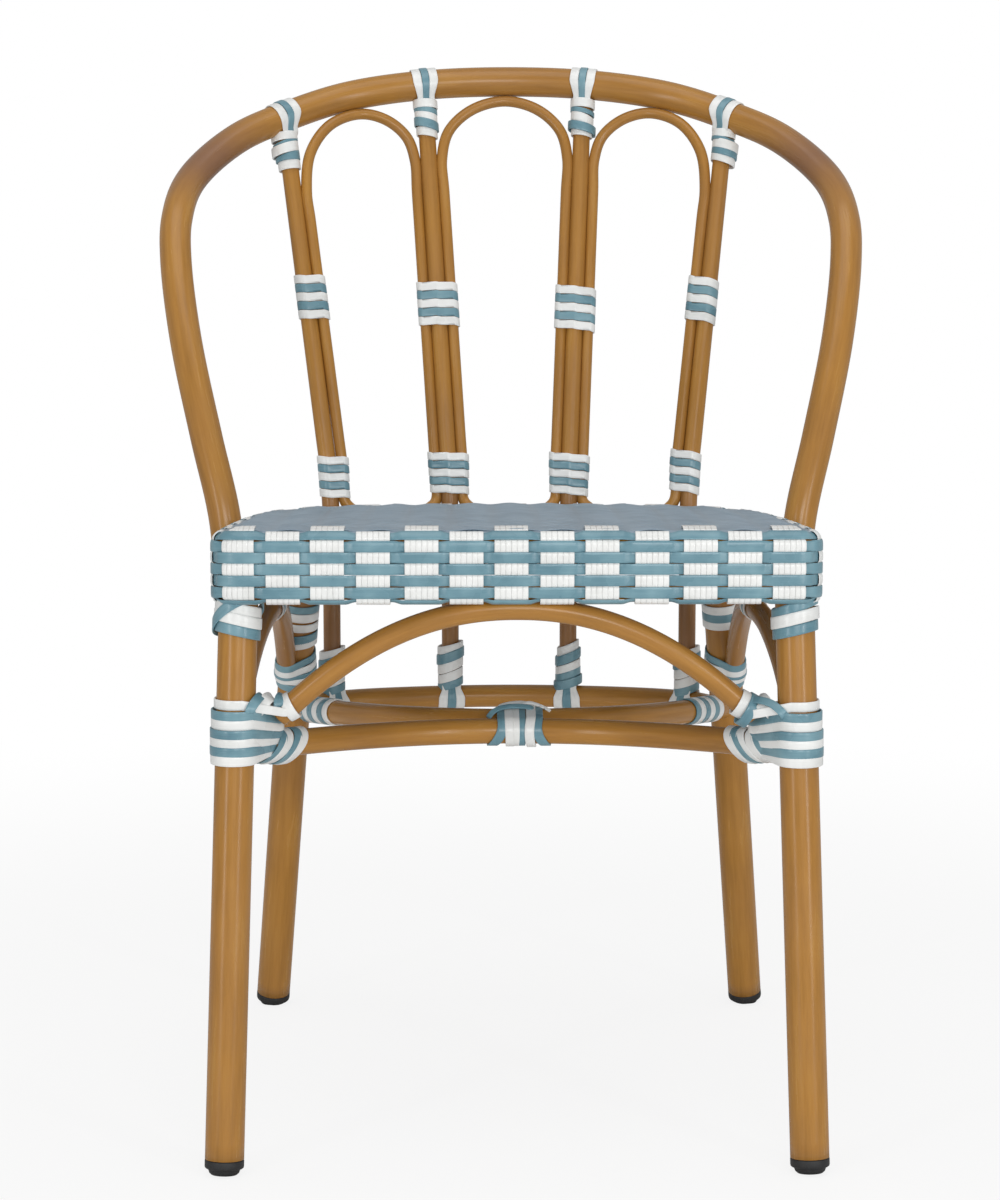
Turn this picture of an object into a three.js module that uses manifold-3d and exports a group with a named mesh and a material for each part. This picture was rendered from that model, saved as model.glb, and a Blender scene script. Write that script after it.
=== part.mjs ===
// Bistro armchair: painted aluminium tube that imitates rattan, a woven seat and wound joints.
// Millimetres, +Z up, front towards -Y. The origin is on the floor under the middle of the chair.
import * as THREE from 'three';
import { mergeVertices } from 'three/addons/utils/BufferGeometryUtils.js';
import Module from 'manifold-3d';

const wasm = await Module();
wasm.setup();

// Fits
const clearance = 0.3;
const overrun = 2;

// Tube diameters
const legTube = 28;
const legWall = 2.5;
const hoopTube = 25;
const stretcherTube = 19;
const archTube = 16;
const railTube = 16;
const postTube = 14;
const crossBarTube = 14;
const rodTube = 9;
const borderRodTube = 7;

// Flat plastic strip of the wound joints
const stripWidth = 6.8;
const stripGap = 0.7;
const stripThickness = 1.2;
const stripClearance = 0.7;

// Woven seat, with depths measured back from the line through the front feet
const seatFront = 26;
const seatDepth = 424;
const seatHalfWidth = 218.3;
const seatCorner = 22;
const seatFrontHeight = 458;
const seatRearDrop = 26;
const apronHeight = 54;
const weaveThickness = 3;
const seatCrown = 4;
const sidePullShares = [0.98, 0.863];
const rearPullShare = 0.907;

// Legs
const frontFootHalfSpan = 208.5;
const frontLegSetback = 50;
const frontLegTuck = 4;
const rearFootHalfSpan = 203.5;
const rearFootDepth = 448;
const rearLegSideShare = 0.435;
const rearLegTuck = 16;
const footCapHeight = 10.7;
const footCapRim = 6;
const footDomeRadius = 11.6;
const footTreadRadius = 9.5;
const footPlugLength = 14;

// Back hoop: its half span, the height and depth of its top, and where it meets the seat
const hoopHalfSpan = 268;
const hoopTopHeight = 784;
const hoopTopDepth = 541;
const hoopSeatDepth = 246;
const hoopStubLean = 3;
const hoopStandoff = 1;
// Across as a share of the half span, back and up as shares of the way from the seat to the top
const hoopShares = [
  [0.886, 0.061, 0.17],
  [0.955, 0.183, 0.39],
  [0.994, 0.312, 0.57],
  [0.999, 0.4, 0.662],
  [0.968, 0.553, 0.756],
  [0.844, 0.722, 0.854],
  [0.703, 0.834, 0.909],
  [0.511, 0.925, 0.961],
  [0.269, 0.976, 0.991],
];

// Back posts, which reach out unevenly under the hoop, and the thin rods bent over between them
const outerPostHalfSpan = 149;
const innerPostHalfSpan = 50;
const postOneTopReach = 189.2;
const postTwoTopReach = 72;
const postThreeTopReach = 64.3;
const postFourTopReach = 183;
const postBendRise = 12;
const postBendReach = 22;
const rodStandoff = 0.8;
const rodShoulderDrop = 63;
const rodSplay = 18;
const rodApexShare = 0.44;
const rodNeckShare = 1 / 8;
const rodSwingShare = 1 / 3;
const rodTurnDegrees = [30, 60];

// Stretchers and arches under the seat
const frontBowHeight = 300;
const frontBowMidHeight = 289;
const frontBowMidDepth = 165;
const rearBowHeight = 269;
const rearBowMidRise = 4;
const rearStretcherHeight = 265;
const frontArchFootHalfSpan = 186;
const frontArchDrop = 59;
const sideArchFrontHeight = 314;
const sideArchRearHeight = 292;
const sideArchMidDepth = 204;
const sideArchHalfSpan = 183;

// Where the wound joints sit
const frontJointHeight = 312;
const rearJointHeight = 303;
const rearLegLashingHeight = 343;
const frontBowLashingHalfSpan = 166;
const upperLashingHeight = 600;
const lowerLashingRise = 24;
const archLashingSetoff = 23;
const crossBarEndGap = 0.9;
const borderRodSetoff = 2;

// Turns of strip at the wound joints
const lashingTurns = 5;
const legTopTurns = 3;
const frontJointTurns = 7;
const rearJointTurns = 4;
const bowLashingTurns = 4;
const archTopTurns = 3;
const centreTurns = 6;
const teeTurns = 4;
const teeTracks = 3;
const teeSweep = THREE.MathUtils.degToRad(25);

// Facets
const legSides = 12;
const tubeSides = 10;
const thinSides = 8;
const rodSides = 6;
const seatCornerSteps = 3;
const seatSideSteps = 11;
const legTurnSteps = 8;
const turnSteps = 6;
const trackSteps = 4;
const rearStretcherSteps = 25;
const bowSteps = 16;
const frontArchSteps = 20;

const stripPitch = stripWidth + stripGap;
const seatRear = seatFront + seatDepth;
const up = new THREE.Vector3(0, 0, 1);
const across = new THREE.Vector3(1, 0, 0);

const at = (x, y, z) => new THREE.Vector3(x, y, z);

/** The point at one height on the straight line from one point through another. */
function onLine(from, through, height) {
  return from.clone().lerp(through, (height - from.z) / (through.z - from.z));
}

// Solids

function toSolid(geometry) {
  const bare = geometry.clone();
  bare.deleteAttribute('normal');
  bare.deleteAttribute('uv');
  const merged = mergeVertices(bare);
  const mesh = new wasm.Mesh({
    numProp: 3,
    vertProperties: merged.attributes.position.array,
    triVerts: new Uint32Array(merged.index.array),
  });
  return new wasm.Manifold(mesh);
}

function fromSolid(solid) {
  const mesh = solid.getMesh();
  const geometry = new THREE.BufferGeometry();
  geometry.setAttribute('position', new THREE.BufferAttribute(mesh.vertProperties, mesh.numProp));
  geometry.setIndex(new THREE.BufferAttribute(mesh.triVerts, 1));
  geometry.computeVertexNormals();
  return geometry;
}

/** The geometry with each of the other geometries cut away from it. */
function cut(geometry, ...tools) {
  return fromSolid(tools.reduce((solid, tool) => solid.subtract(toSolid(tool)), toSolid(geometry)));
}

/** A closed body through rings of points: its ends are capped, or joined where it runs round. */
function skin(rings, runsRound = false) {
  const count = rings[0].length;
  const indices = [];
  const last = runsRound ? rings.length : rings.length - 1;
  for (let ring = 0; ring < last; ring += 1) {
    const next = (ring + 1) % rings.length;
    for (let i = 0; i < count; i += 1) {
      const j = (i + 1) % count;
      indices.push(ring * count + i, next * count + i, next * count + j);
      indices.push(ring * count + i, next * count + j, ring * count + j);
    }
  }
  if (!runsRound) {
    const end = (rings.length - 1) * count;
    for (let i = 1; i < count - 1; i += 1) {
      indices.push(0, i, i + 1);
      indices.push(end, end + i + 1, end + i);
    }
  }
  const points = rings.flat();
  const volume = (a, b, c) => points[a].dot(points[b].clone().cross(points[c]));
  let total = 0;
  for (let i = 0; i < indices.length; i += 3) {
    total += volume(indices[i], indices[i + 1], indices[i + 2]);
  }
  if (total < 0) indices.reverse();
  const geometry = new THREE.BufferGeometry().setFromPoints(points);
  geometry.setIndex(indices);
  geometry.computeVertexNormals();
  return geometry;
}

// Tubes

/** A smooth route through chosen points, with its stations at even shares between them. */
class Route extends THREE.CatmullRomCurve3 {
  constructor(points) {
    super(points, false, 'centripetal');
  }

  getSpacedPoints(count) {
    return this.getPoints(count);
  }

  getTangentAt(share, target) {
    return this.getTangent(share, target);
  }
}

/** A tube along a curve; line holds the stations of its axis, which its neighbours follow. */
function tube(curve, diameter, steps, sides) {
  return { curve, diameter, steps, sides, line: curve.getPoints(steps) };
}

function polygon(diameter, sides) {
  return Array.from({ length: sides }, (_, i) => {
    const angle = (2 * Math.PI * i) / sides;
    return new THREE.Vector2(Math.cos(angle), Math.sin(angle)).multiplyScalar(diameter / 2);
  });
}

/** The tube's solid, made larger all round to cut its neighbours, or with a bore. */
function tubeSolid({ curve, diameter, steps, sides }, larger = 0, bore = 0) {
  const section = new THREE.Shape(polygon(diameter + 2 * larger, sides));
  if (bore > 0) section.holes.push(new THREE.Path(polygon(bore, sides)));
  return new THREE.ExtrudeGeometry(section, { steps, bevelEnabled: false, extrudePath: curve });
}

/** Where a tube's axis crosses the plane through a point, nearest to that point. */
function crossing({ line }, point, axis) {
  const place = new THREE.Vector3();
  let nearest = Infinity;
  for (let i = 1; i < line.length; i += 1) {
    const before = line[i - 1].clone().sub(point).dot(axis);
    const after = line[i].clone().sub(point).dot(axis);
    if (before * after > 0 || before === after) continue;
    const here = line[i - 1].clone().lerp(line[i], before / (before - after));
    if (here.distanceTo(point) < nearest) {
      nearest = here.distanceTo(point);
      place.copy(here);
    }
  }
  return nearest < Infinity ? place : point.clone();
}

/** The direction of a tube's axis at the place nearest to a point. */
function direction({ curve, line, steps }, point) {
  const place = new THREE.Vector3();
  let nearest = Infinity;
  let found = 0;
  for (let i = 0; i < steps; i += 1) {
    const span = new THREE.Line3(line[i], line[i + 1]);
    const share = span.closestPointToPointParameter(point, true);
    if (span.at(share, place).distanceTo(point) < nearest) {
      nearest = place.distanceTo(point);
      found = (i + share) / steps;
    }
  }
  return curve.getTangent(found);
}

/** Points of a bow from its left end through its middle to its right end. */
function bowPoints(end, middle, power, count) {
  return Array.from({ length: 2 * count + 1 }, (_, i) => {
    const share = i / count - 1;
    const bend = Math.abs(share) ** power;
    return at(
      THREE.MathUtils.lerp(middle.x, end.x, share),
      THREE.MathUtils.lerp(middle.y, end.y, bend),
      THREE.MathUtils.lerp(middle.z, end.z, bend),
    );
  });
}

// Wound joints

/** A flat strip through stations, each with its place on the tube and its outward direction. */
function strip(stations) {
  return stations.map(({ place, out }, i) => {
    const before = stations[Math.max(i - 1, 0)].place;
    const after = stations[Math.min(i + 1, stations.length - 1)].place;
    const half = after.clone().sub(before).cross(out).setLength(stripWidth / 2);
    const rise = out.clone().multiplyScalar(stripThickness);
    const left = place.clone().sub(half);
    const right = place.clone().add(half);
    return [left, right, right.clone().add(rise), left.clone().add(rise)];
  });
}

/** The least distance between corners of a strip that are more than a few stations apart. */
function leastGap(rings) {
  const apart = 4;
  let least = Infinity;
  rings.forEach((ring, i) => {
    for (const other of rings.slice(i + apart)) {
      for (const corner of ring) {
        for (const facing of other) least = Math.min(least, corner.distanceTo(facing));
      }
    }
  });
  return least;
}

/** The corners of the outline that a taut thread draws round circles, as circle and angle. */
function tautOutline(circles, steps) {
  const radiusShare = 1 / Math.cos(Math.PI / steps);
  const corners = circles.flatMap((circle, index) => Array.from({ length: steps }, (_, i) => {
    const angle = (2 * Math.PI * (i + 0.5)) / steps;
    const x = circle.x + circle.radius * radiusShare * Math.cos(angle);
    const y = circle.y + circle.radius * radiusShare * Math.sin(angle);
    return { index, angle, x, y };
  }));
  corners.sort((a, b) => a.x - b.x || a.y - b.y);
  const turn = (o, a, b) => (a.x - o.x) * (b.y - o.y) - (a.y - o.y) * (b.x - o.x);
  const half = (points) => {
    const chain = [];
    for (const point of points) {
      while (chain.length > 1 && turn(chain.at(-2), chain.at(-1), point) <= 0) chain.pop();
      chain.push(point);
    }
    return chain.slice(0, -1);
  };
  return [...half(corners), ...half(corners.toReversed())];
}

/** Stations of a strip wound round a bundle of tubes, one pitch along the axis each turn. */
function turnsRound(tubes, centre, axis, turns, steps = turnSteps) {
  const steepest = Math.abs(axis.x) < Math.abs(axis.z) ? across : up;
  const u = steepest.clone().projectOnPlane(axis).normalize();
  const v = axis.clone().cross(u);
  const circles = tubes.map((member) => {
    const offset = crossing(member, centre, axis).sub(centre);
    return { x: offset.dot(u), y: offset.dot(v), radius: member.diameter / 2 + stripClearance };
  });
  const outline = tautOutline(circles, steps);
  const count = Math.round(turns * outline.length);
  return Array.from({ length: count + 1 }, (_, i) => {
    const { index, angle } = outline[i % outline.length];
    const rise = (i / outline.length - turns / 2) * stripPitch;
    const level = centre.clone().addScaledVector(axis, rise);
    const out = u.clone().multiplyScalar(Math.cos(angle)).addScaledVector(v, Math.sin(angle));
    const place = crossing(tubes[index], level, axis);
    const slant = direction(tubes[index], place).cross(axis).length();
    const radius = circles[index].radius + (slant * stripWidth) / 2;
    return { place: place.addScaledVector(out, radius / Math.cos(Math.PI / steps)), out };
  });
}

/**
 * Stations of a strip on a T joint: tracks side by side over the tube that runs through,
 * turning back at each side, and then turns down the stem that ends on it.
 */
function turnsOnTee(through, stem, joint, turns) {
  const run = direction(through, joint);
  if (run.x < 0) run.negate();
  const stemMiddle = stem.line[Math.floor(stem.line.length / 2)];
  const down = direction(stem, joint);
  if (down.dot(stemMiddle.clone().sub(joint)) < 0) down.negate();
  const front = run.clone().cross(down).normalize();
  if (front.y > 0) front.negate();
  const away = down.clone().projectOnPlane(run).normalize().negate();
  const trackStep = (Math.PI / 2 + teeSweep) / trackSteps;
  const radius = (through.diameter / 2 + stripClearance) / Math.cos(trackStep);
  const onTrack = (offset, angle) => {
    const place = crossing(through, joint.clone().addScaledVector(run, offset), run);
    const out = front.clone().multiplyScalar(Math.cos(angle)).addScaledVector(away, Math.sin(angle));
    out.projectOnPlane(direction(through, place)).normalize();
    return { place: place.addScaledVector(out, radius), out };
  };
  const stations = [];
  const half = (teeTracks - 1) / 2;
  for (let track = 0; track < teeTracks; track += 1) {
    const offset = (track - half) * stripPitch;
    for (let i = 0; i <= trackSteps; i += 1) {
      const share = track % 2 === 0 ? i / trackSteps : 1 - i / trackSteps;
      stations.push(onTrack(offset, THREE.MathUtils.lerp(-teeSweep, Math.PI + teeSweep, share)));
    }
    if (track < teeTracks - 1) {
      const side = track % 2 === 0 ? Math.PI + teeSweep : -teeSweep;
      const beyond = (Math.sign(side) * stripPitch) / (2 * radius);
      stations.push(onTrack(offset + stripPitch / 2, side + beyond));
    }
  }
  const stemRadius = (stem.diameter / 2 + stripClearance) / Math.cos(Math.PI / turnSteps);
  const firstTurn = radius + stripPitch / 2;
  const startAngle = Math.asin(Math.min(1, stripPitch / 2 / stemRadius));
  const count = turns * turnSteps;
  for (let i = 0; i <= count; i += 1) {
    const angle = startAngle - (2 * Math.PI * i) / turnSteps;
    const out = front.clone().multiplyScalar(-Math.cos(angle)).addScaledVector(run, Math.sin(angle));
    const level = joint.clone().addScaledVector(down, firstTurn + (i / turnSteps) * stripPitch);
    out.projectOnPlane(down).normalize();
    stations.push({ place: crossing(stem, level, down).addScaledVector(out, stemRadius), out });
  }
  return stations;
}

// Seat outline

const seatTop = (y) => seatFrontHeight - (seatRearDrop * (y - seatFront)) / seatDepth;

const cornerX = seatHalfWidth - seatCorner;
const cornerY = seatFront + seatCorner;
const seatSide = new THREE.CubicBezierCurve(
  new THREE.Vector2(seatHalfWidth, cornerY),
  new THREE.Vector2(
    seatHalfWidth * sidePullShares[0],
    THREE.MathUtils.lerp(cornerY, seatRear, sidePullShares[1]),
  ),
  new THREE.Vector2(seatHalfWidth * rearPullShare, seatRear),
  new THREE.Vector2(0, seatRear),
);

/** The seat's outline from the front middle round by the right, with mitred inward directions. */
function seatOutline() {
  const right = [];
  for (let i = 0; i <= seatCornerSteps; i += 1) {
    const angle = (Math.PI / 2) * (i / seatCornerSteps - 1);
    right.push(new THREE.Vector2(
      cornerX + seatCorner * Math.cos(angle),
      cornerY + seatCorner * Math.sin(angle),
    ));
  }
  right.push(...seatSide.getPoints(seatSideSteps).slice(1));
  const left = right.slice(0, -1).reverse().map((point) => new THREE.Vector2(-point.x, point.y));
  const places = [new THREE.Vector2(0, seatFront), ...right, ...left];
  return places.map((place, i) => {
    const before = place.clone().sub(places.at(i - 1)).normalize();
    const after = places[(i + 1) % places.length].clone().sub(place).normalize();
    const inward = new THREE.Vector2(-before.y - after.y, before.x + after.x);
    return { place, inward: inward.divideScalar(1 + before.dot(after)) };
  });
}

const outline = seatOutline();

/** A point of the seat: so far in from the outline and so far above the seat's top plane. */
function seatPoint({ place, inward }, inset, height) {
  const y = place.y + inward.y * inset;
  return at(place.x + inward.x * inset, y, seatTop(y) + height);
}

/** A closed profile of insets and heights carried round the seat. */
const roundSeat = (profile) => skin(outline.map((station) => (
  profile.map(([inset, height]) => seatPoint(station, inset, height))
)), true);

const seatLine = (inset, height) => ({
  line: outline.map((station) => seatPoint(station, inset, height)),
});

function arc([inset, height], radius, fromDegrees, toDegrees, steps) {
  return Array.from({ length: steps + 1 }, (_, i) => {
    const angle = THREE.MathUtils.degToRad(THREE.MathUtils.lerp(fromDegrees, toDegrees, i / steps));
    return [inset + radius * Math.cos(angle), height + radius * Math.sin(angle)];
  });
}

// The weave wraps over the rail at its top edge and under the border rod at its bottom edge
const wrapSteps = 2;
const wrapRadius = (diameter) => (diameter / 2 + clearance) / Math.cos(Math.PI / 4 / wrapSteps);
const railInset = wrapRadius(railTube) + weaveThickness;
const borderRodInset = wrapRadius(borderRodTube) + weaveThickness;
const railCentre = [railInset, -railInset];
const borderRodCentre = [borderRodInset, borderRodInset - apronHeight];

const railProfile = (larger) => arc(railCentre, railTube / 2 + larger, 0, 360, thinSides).slice(1);

const borderProfile = [
  ...arc(railCentre, railInset, 90, 180, wrapSteps),
  ...arc(borderRodCentre, borderRodInset, 180, 270, wrapSteps),
  ...arc(borderRodCentre, borderRodInset - weaveThickness, 270, 180, wrapSteps),
  ...arc(railCentre, railInset - weaveThickness, 180, 90, wrapSteps),
];

/** The woven top: crowned plates of the outline's shape, from the rail's middle inwards. */
function seatTopSolid() {
  const shares = [0.3, 0.6, 0.85, 1];
  const edge = outline.map((station) => seatPoint(station, railInset + clearance, 0));
  const middleY = seatFront + seatDepth / 2;
  const plate = (share, height) => edge.map((point) => {
    const y = THREE.MathUtils.lerp(middleY, point.y, share);
    return at(point.x * share, y, seatTop(y) + height + seatCrown * (1 - share * share));
  });
  return skin([
    ...shares.map((share) => plate(share, -weaveThickness)),
    ...shares.toReversed().map((share) => plate(share, 0)),
  ]);
}

// Tubes of the frame, worked out from the seat

const legBore = legTube - 2 * legWall;
const legStart = footCapHeight + clearance;

/** A leg from the floor through a point under the seat up to the height of the rail. */
function legTubeFrom(foot, through) {
  const top = onLine(foot, through, seatTop(through.y) - railInset);
  const axis = top.clone().sub(foot).normalize();
  const start = foot.clone().addScaledVector(axis, legStart);
  return { ...tube(new THREE.LineCurve3(start, top), legTube, 1, legSides), foot, axis };
}

function frontLeg(side) {
  const x = seatHalfWidth - weaveThickness - frontLegTuck - legTube / 2;
  const through = at(side * x, frontLegSetback, seatTop(frontLegSetback) - apronHeight);
  return legTubeFrom(at(side * frontFootHalfSpan, 0, 0), through);
}

function rearLeg(side) {
  const place = seatSide.getPoint(rearLegSideShare);
  const along = seatSide.getTangent(rearLegSideShare);
  const inset = railInset + rearLegTuck;
  const top = seatPoint({ place, inward: new THREE.Vector2(-along.y, along.x) }, inset, -railInset);
  return legTubeFrom(at(side * rearFootHalfSpan, rearFootDepth, 0), top.setX(side * top.x));
}

const sides = { left: -1, right: 1 };
const frontLegs = { left: frontLeg(-1), right: frontLeg(1) };
const rearLegs = { left: rearLeg(-1), right: rearLeg(1) };

const legAt = (leg, height) => onLine(leg.foot, leg.curve.v2, height);

// The hoop's ends stand beside the seat, down to the bottom of its apron
const seatSideAt = (y, inset) => crossing(seatLine(inset, 0), at(seatHalfWidth, y, seatFrontHeight), at(0, 1, 0)).x;
const hoopBeside = hoopTube / 2 + hoopStandoff;
const hoopEndDepth = hoopSeatDepth - hoopStubLean;

function hoopRoute() {
  const right = [
    at(seatSideAt(hoopEndDepth, -hoopBeside), hoopEndDepth, seatTop(hoopEndDepth) - apronHeight),
    at(seatSideAt(hoopSeatDepth, -hoopBeside), hoopSeatDepth, seatTop(hoopSeatDepth)),
    ...hoopShares.map(([acrossShare, backShare, upShare]) => at(
      hoopHalfSpan * acrossShare,
      THREE.MathUtils.lerp(hoopSeatDepth, hoopTopDepth, backShare),
      THREE.MathUtils.lerp(seatTop(hoopSeatDepth), hoopTopHeight, upShare),
    )),
  ];
  const left = right.toReversed().map((point) => at(-point.x, point.y, point.z));
  return new Route([...right, at(0, hoopTopDepth, hoopTopHeight), ...left]);
}

const hoopStationsPerSpan = 2;
const hoop = tube(hoopRoute(), hoopTube, 2 * hoopStationsPerSpan * (hoopShares.length + 2), tubeSides);
const hoopAt = (x) => crossing(hoop, at(x, hoopTopDepth, hoopTopHeight), across);

// The posts stand just behind the apron, so the rear stretcher under them is bowed as the seat is
const postStandoff = postTube / 2 + 2 * clearance;
const postPlace = (x) => crossing(seatLine(-postStandoff, 0), at(x, seatRear, seatTop(seatRear)), across);
const postSpans = [
  [-outerPostHalfSpan, -postOneTopReach],
  [-innerPostHalfSpan, -postTwoTopReach],
  [innerPostHalfSpan, postThreeTopReach],
  [outerPostHalfSpan, postFourTopReach],
];
const stretcherPoint = (x) => postPlace(x).setZ(rearStretcherHeight);
const rearStretcher = tube(new Route([
  legAt(rearLegs.left, rearStretcherHeight),
  ...postSpans.map(([x]) => stretcherPoint(x)),
  legAt(rearLegs.right, rearStretcherHeight),
]), stretcherTube, rearStretcherSteps, tubeSides);

const posts = postSpans.map(([x, topX]) => {
  const bend = postPlace(x);
  bend.z += postBendRise;
  const top = hoopAt(topX);
  const rise = top.clone().sub(bend).setLength(postBendReach);
  const points = [
    stretcherPoint(x),
    bend.clone().addScaledVector(up, -2 * postBendReach),
    bend.clone().addScaledVector(up, -postBendReach),
    bend.clone().add(rise),
    bend.clone().addScaledVector(rise, 2),
    top,
  ];
  return tube(new Route(points), postTube, 2 * (points.length - 1), thinSides);
});
const postAt = (post, height) => crossing(post, at(post.line.at(-1).x, seatRear, height), up);

const lashingHalf = (lashingTurns * stripPitch + stripWidth) / 2;
const lowerLashingHeight = (post) => seatTop(post.line[0].y) + lowerLashingRise;

/** A thin rod up along one post, over under the hoop, and down along the next post. */
function rodBetween(leftPost, rightPost, apexShare) {
  const rail = seatLine(railInset - railTube / 4, -railInset);
  const offset = postTube / 2 + rodTube / 2 + rodStandoff;
  const leg = (post, side) => {
    const lean = direction(post, postAt(post, upperLashingHeight));
    const beside = (height) => {
      const place = postAt(post, height);
      const along = direction(post, place);
      return place.add(across.clone().projectOnPlane(along).setLength(side * offset));
    };
    const lashingBottom = lowerLashingHeight(post) - lashingHalf;
    const low = beside(lashingBottom);
    const bend = seatTop(low.y) + postBendRise;
    const shoulder = beside(post.line.at(-1).z - rodShoulderDrop);
    const end = crossing(rail, at(low.x + side * rodSplay, seatRear, low.z), across);
    const swing = low.clone().lerp(end, rodSwingShare).setZ((low.z + end.z) / 2);
    const rise = shoulder.clone().sub(beside(bend + 2 * postBendReach)).multiplyScalar(rodNeckShare);
    return {
      foot: [end, swing, low, beside(bend + postBendReach), beside(bend + 2 * postBendReach)],
      neck: shoulder.clone().sub(rise),
      shoulder,
      lean,
    };
  };
  const left = leg(leftPost, 1);
  const right = leg(rightPost, -1);
  const under = left.shoulder.clone().lerp(right.shoulder, apexShare);
  const above = hoopAt(under.x);
  const run = direction(hoop, above);
  const inward = under.clone().sub(above);
  inward.projectOnPlane(run).setLength(hoopTube / 2 + rodTube / 2 + clearance);
  const apex = above.clone().add(inward);
  const quarter = (from) => {
    const rise = from.lean.clone().multiplyScalar(apex.clone().sub(from.shoulder).dot(from.lean));
    const reach = apex.clone().sub(from.shoulder).sub(rise);
    return rodTurnDegrees.map((degrees) => {
      const angle = THREE.MathUtils.degToRad(degrees);
      return from.shoulder.clone()
        .addScaledVector(reach, 1 - Math.cos(angle))
        .addScaledVector(rise, Math.sin(angle));
    });
  };
  const half = (from) => [...from.foot, from.neck, from.shoulder, ...quarter(from)];
  const points = [...half(left), apex, ...half(right).toReversed()];
  return tube(new Route(points), rodTube, 2 * (points.length - 1), rodSides);
}

const rods = {
  left: rodBetween(posts[0], posts[1], rodApexShare),
  centre: rodBetween(posts[1], posts[2], 1 / 2),
  right: rodBetween(posts[2], posts[3], 1 - rodApexShare),
};

// The two bowed stretchers bend towards each other and touch in the middle
const bowPower = 2;
const bowCount = 4;
const frontBowMiddle = at(0, frontBowMidDepth, frontBowMidHeight);
const bowsApart = stretcherTube + clearance;
const rearBowMiddle = at(
  0,
  frontBowMidDepth + Math.sqrt(bowsApart ** 2 - rearBowMidRise ** 2),
  frontBowMidHeight + rearBowMidRise,
);
const frontBow = tube(new Route(
  bowPoints(legAt(frontLegs.right, frontBowHeight), frontBowMiddle, bowPower, bowCount),
), stretcherTube, bowSteps, tubeSides);
const rearBow = tube(new Route(
  bowPoints(legAt(rearLegs.right, rearBowHeight), rearBowMiddle, bowPower, bowCount),
), stretcherTube, bowSteps, tubeSides);

// The front arch stands on the front bow and meets the border rod behind the apron
const archPower = 2.15;
const archCount = 5;
const borderRodFrontDepth = seatFront + borderRodInset;
const frontArchMidDepth = borderRodFrontDepth + borderRodTube / 2 + clearance + archTube / 2;
const frontArchFoot = crossing(frontBow, at(frontArchFootHalfSpan, 0, frontBowHeight), across);
const frontArchMiddle = at(0, frontArchMidDepth, seatFrontHeight - frontArchDrop);
const frontArch = tube(new Route(
  bowPoints(frontArchFoot, frontArchMiddle, archPower, archCount),
), archTube, frontArchSteps, thinSides);

// A cross bar under the border rod carries the tops of the side arches
const crossBarHeight = seatTop(sideArchMidDepth) - apronHeight;
const sideArchMidHeight = crossBarHeight - (crossBarTube + archTube) / 2 - clearance;
const sideArchPower = 2.2;
const sideArchCount = 3;

/** A side arch from the front leg up under the cross bar and down to the rear leg. */
function sideArch(side, front, rear) {
  const frontEnd = legAt(front, sideArchFrontHeight);
  const rearEnd = legAt(rear, sideArchRearHeight).setX(side * sideArchHalfSpan);
  const middle = at(side * sideArchHalfSpan, sideArchMidDepth, sideArchMidHeight);
  const branch = (end) => Array.from({ length: sideArchCount }, (_, i) => {
    const share = (i + 1) / sideArchCount;
    const point = middle.clone().lerp(end, share);
    point.z = THREE.MathUtils.lerp(middle.z, end.z, share ** sideArchPower);
    return point;
  });
  const points = [...branch(frontEnd).toReversed(), middle, ...branch(rearEnd)];
  return tube(new Route(points), archTube, 2 * (points.length - 1), thinSides);
}

const sideArches = {
  left: sideArch(-1, frontLegs.left, rearLegs.left),
  right: sideArch(1, frontLegs.right, rearLegs.right),
};

const borderRodLine = seatLine(...borderRodCentre);
const behindFrontLeg = frontLegSetback + legTube / 2 + borderRodSetoff;
const borderRodStart = crossing(borderRodLine, at(seatHalfWidth, behindFrontLeg, 0), at(0, 1, 0));
const borderRodMiddle = borderRodLine.line.filter((point) => point.y > behindFrontLeg);
const borderRodRear = tube(new Route([
  borderRodStart,
  ...borderRodMiddle,
  at(-borderRodStart.x, borderRodStart.y, borderRodStart.z),
]), borderRodTube, borderRodMiddle.length + 1, rodSides);
const borderRodFront = tube(new THREE.LineCurve3(
  seatPoint(outline.at(-1), ...borderRodCentre),
  seatPoint(outline[1], ...borderRodCentre),
), borderRodTube, 1, rodSides);

const crossBarHalf = seatSideAt(sideArchMidDepth, borderRodInset + crossBarEndGap);
const crossBar = tube(new THREE.LineCurve3(
  at(-crossBarHalf, sideArchMidDepth, crossBarHeight),
  at(crossBarHalf, sideArchMidDepth, crossBarHeight),
), crossBarTube, 1, thinSides);

// Assembly

const chair = new THREE.Group();
const paint = { color: 0xb07a35, roughness: 0.35, metalness: 0.1 };
const whiteStrip = { color: 0xf0efed, roughness: 0.45, metalness: 0 };
const blueStrip = { color: 0x6e98a8, roughness: 0.45, metalness: 0 };
const greyWeave = { color: 0x8a9aa8, roughness: 0.6, metalness: 0 };
const rubber = { color: 0x151515, roughness: 0.7, metalness: 0 };

function add(name, geometry, finish) {
  const mesh = new THREE.Mesh(geometry, new THREE.MeshStandardMaterial({ ...finish, flatShading: true }));
  mesh.name = name;
  chair.add(mesh);
}

let leastStripGap = Infinity;

function addLashing(name, stations, finish) {
  const rings = strip(stations);
  leastStripGap = Math.min(leastStripGap, leastGap(rings));
  add(name, skin(rings), finish);
}

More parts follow.
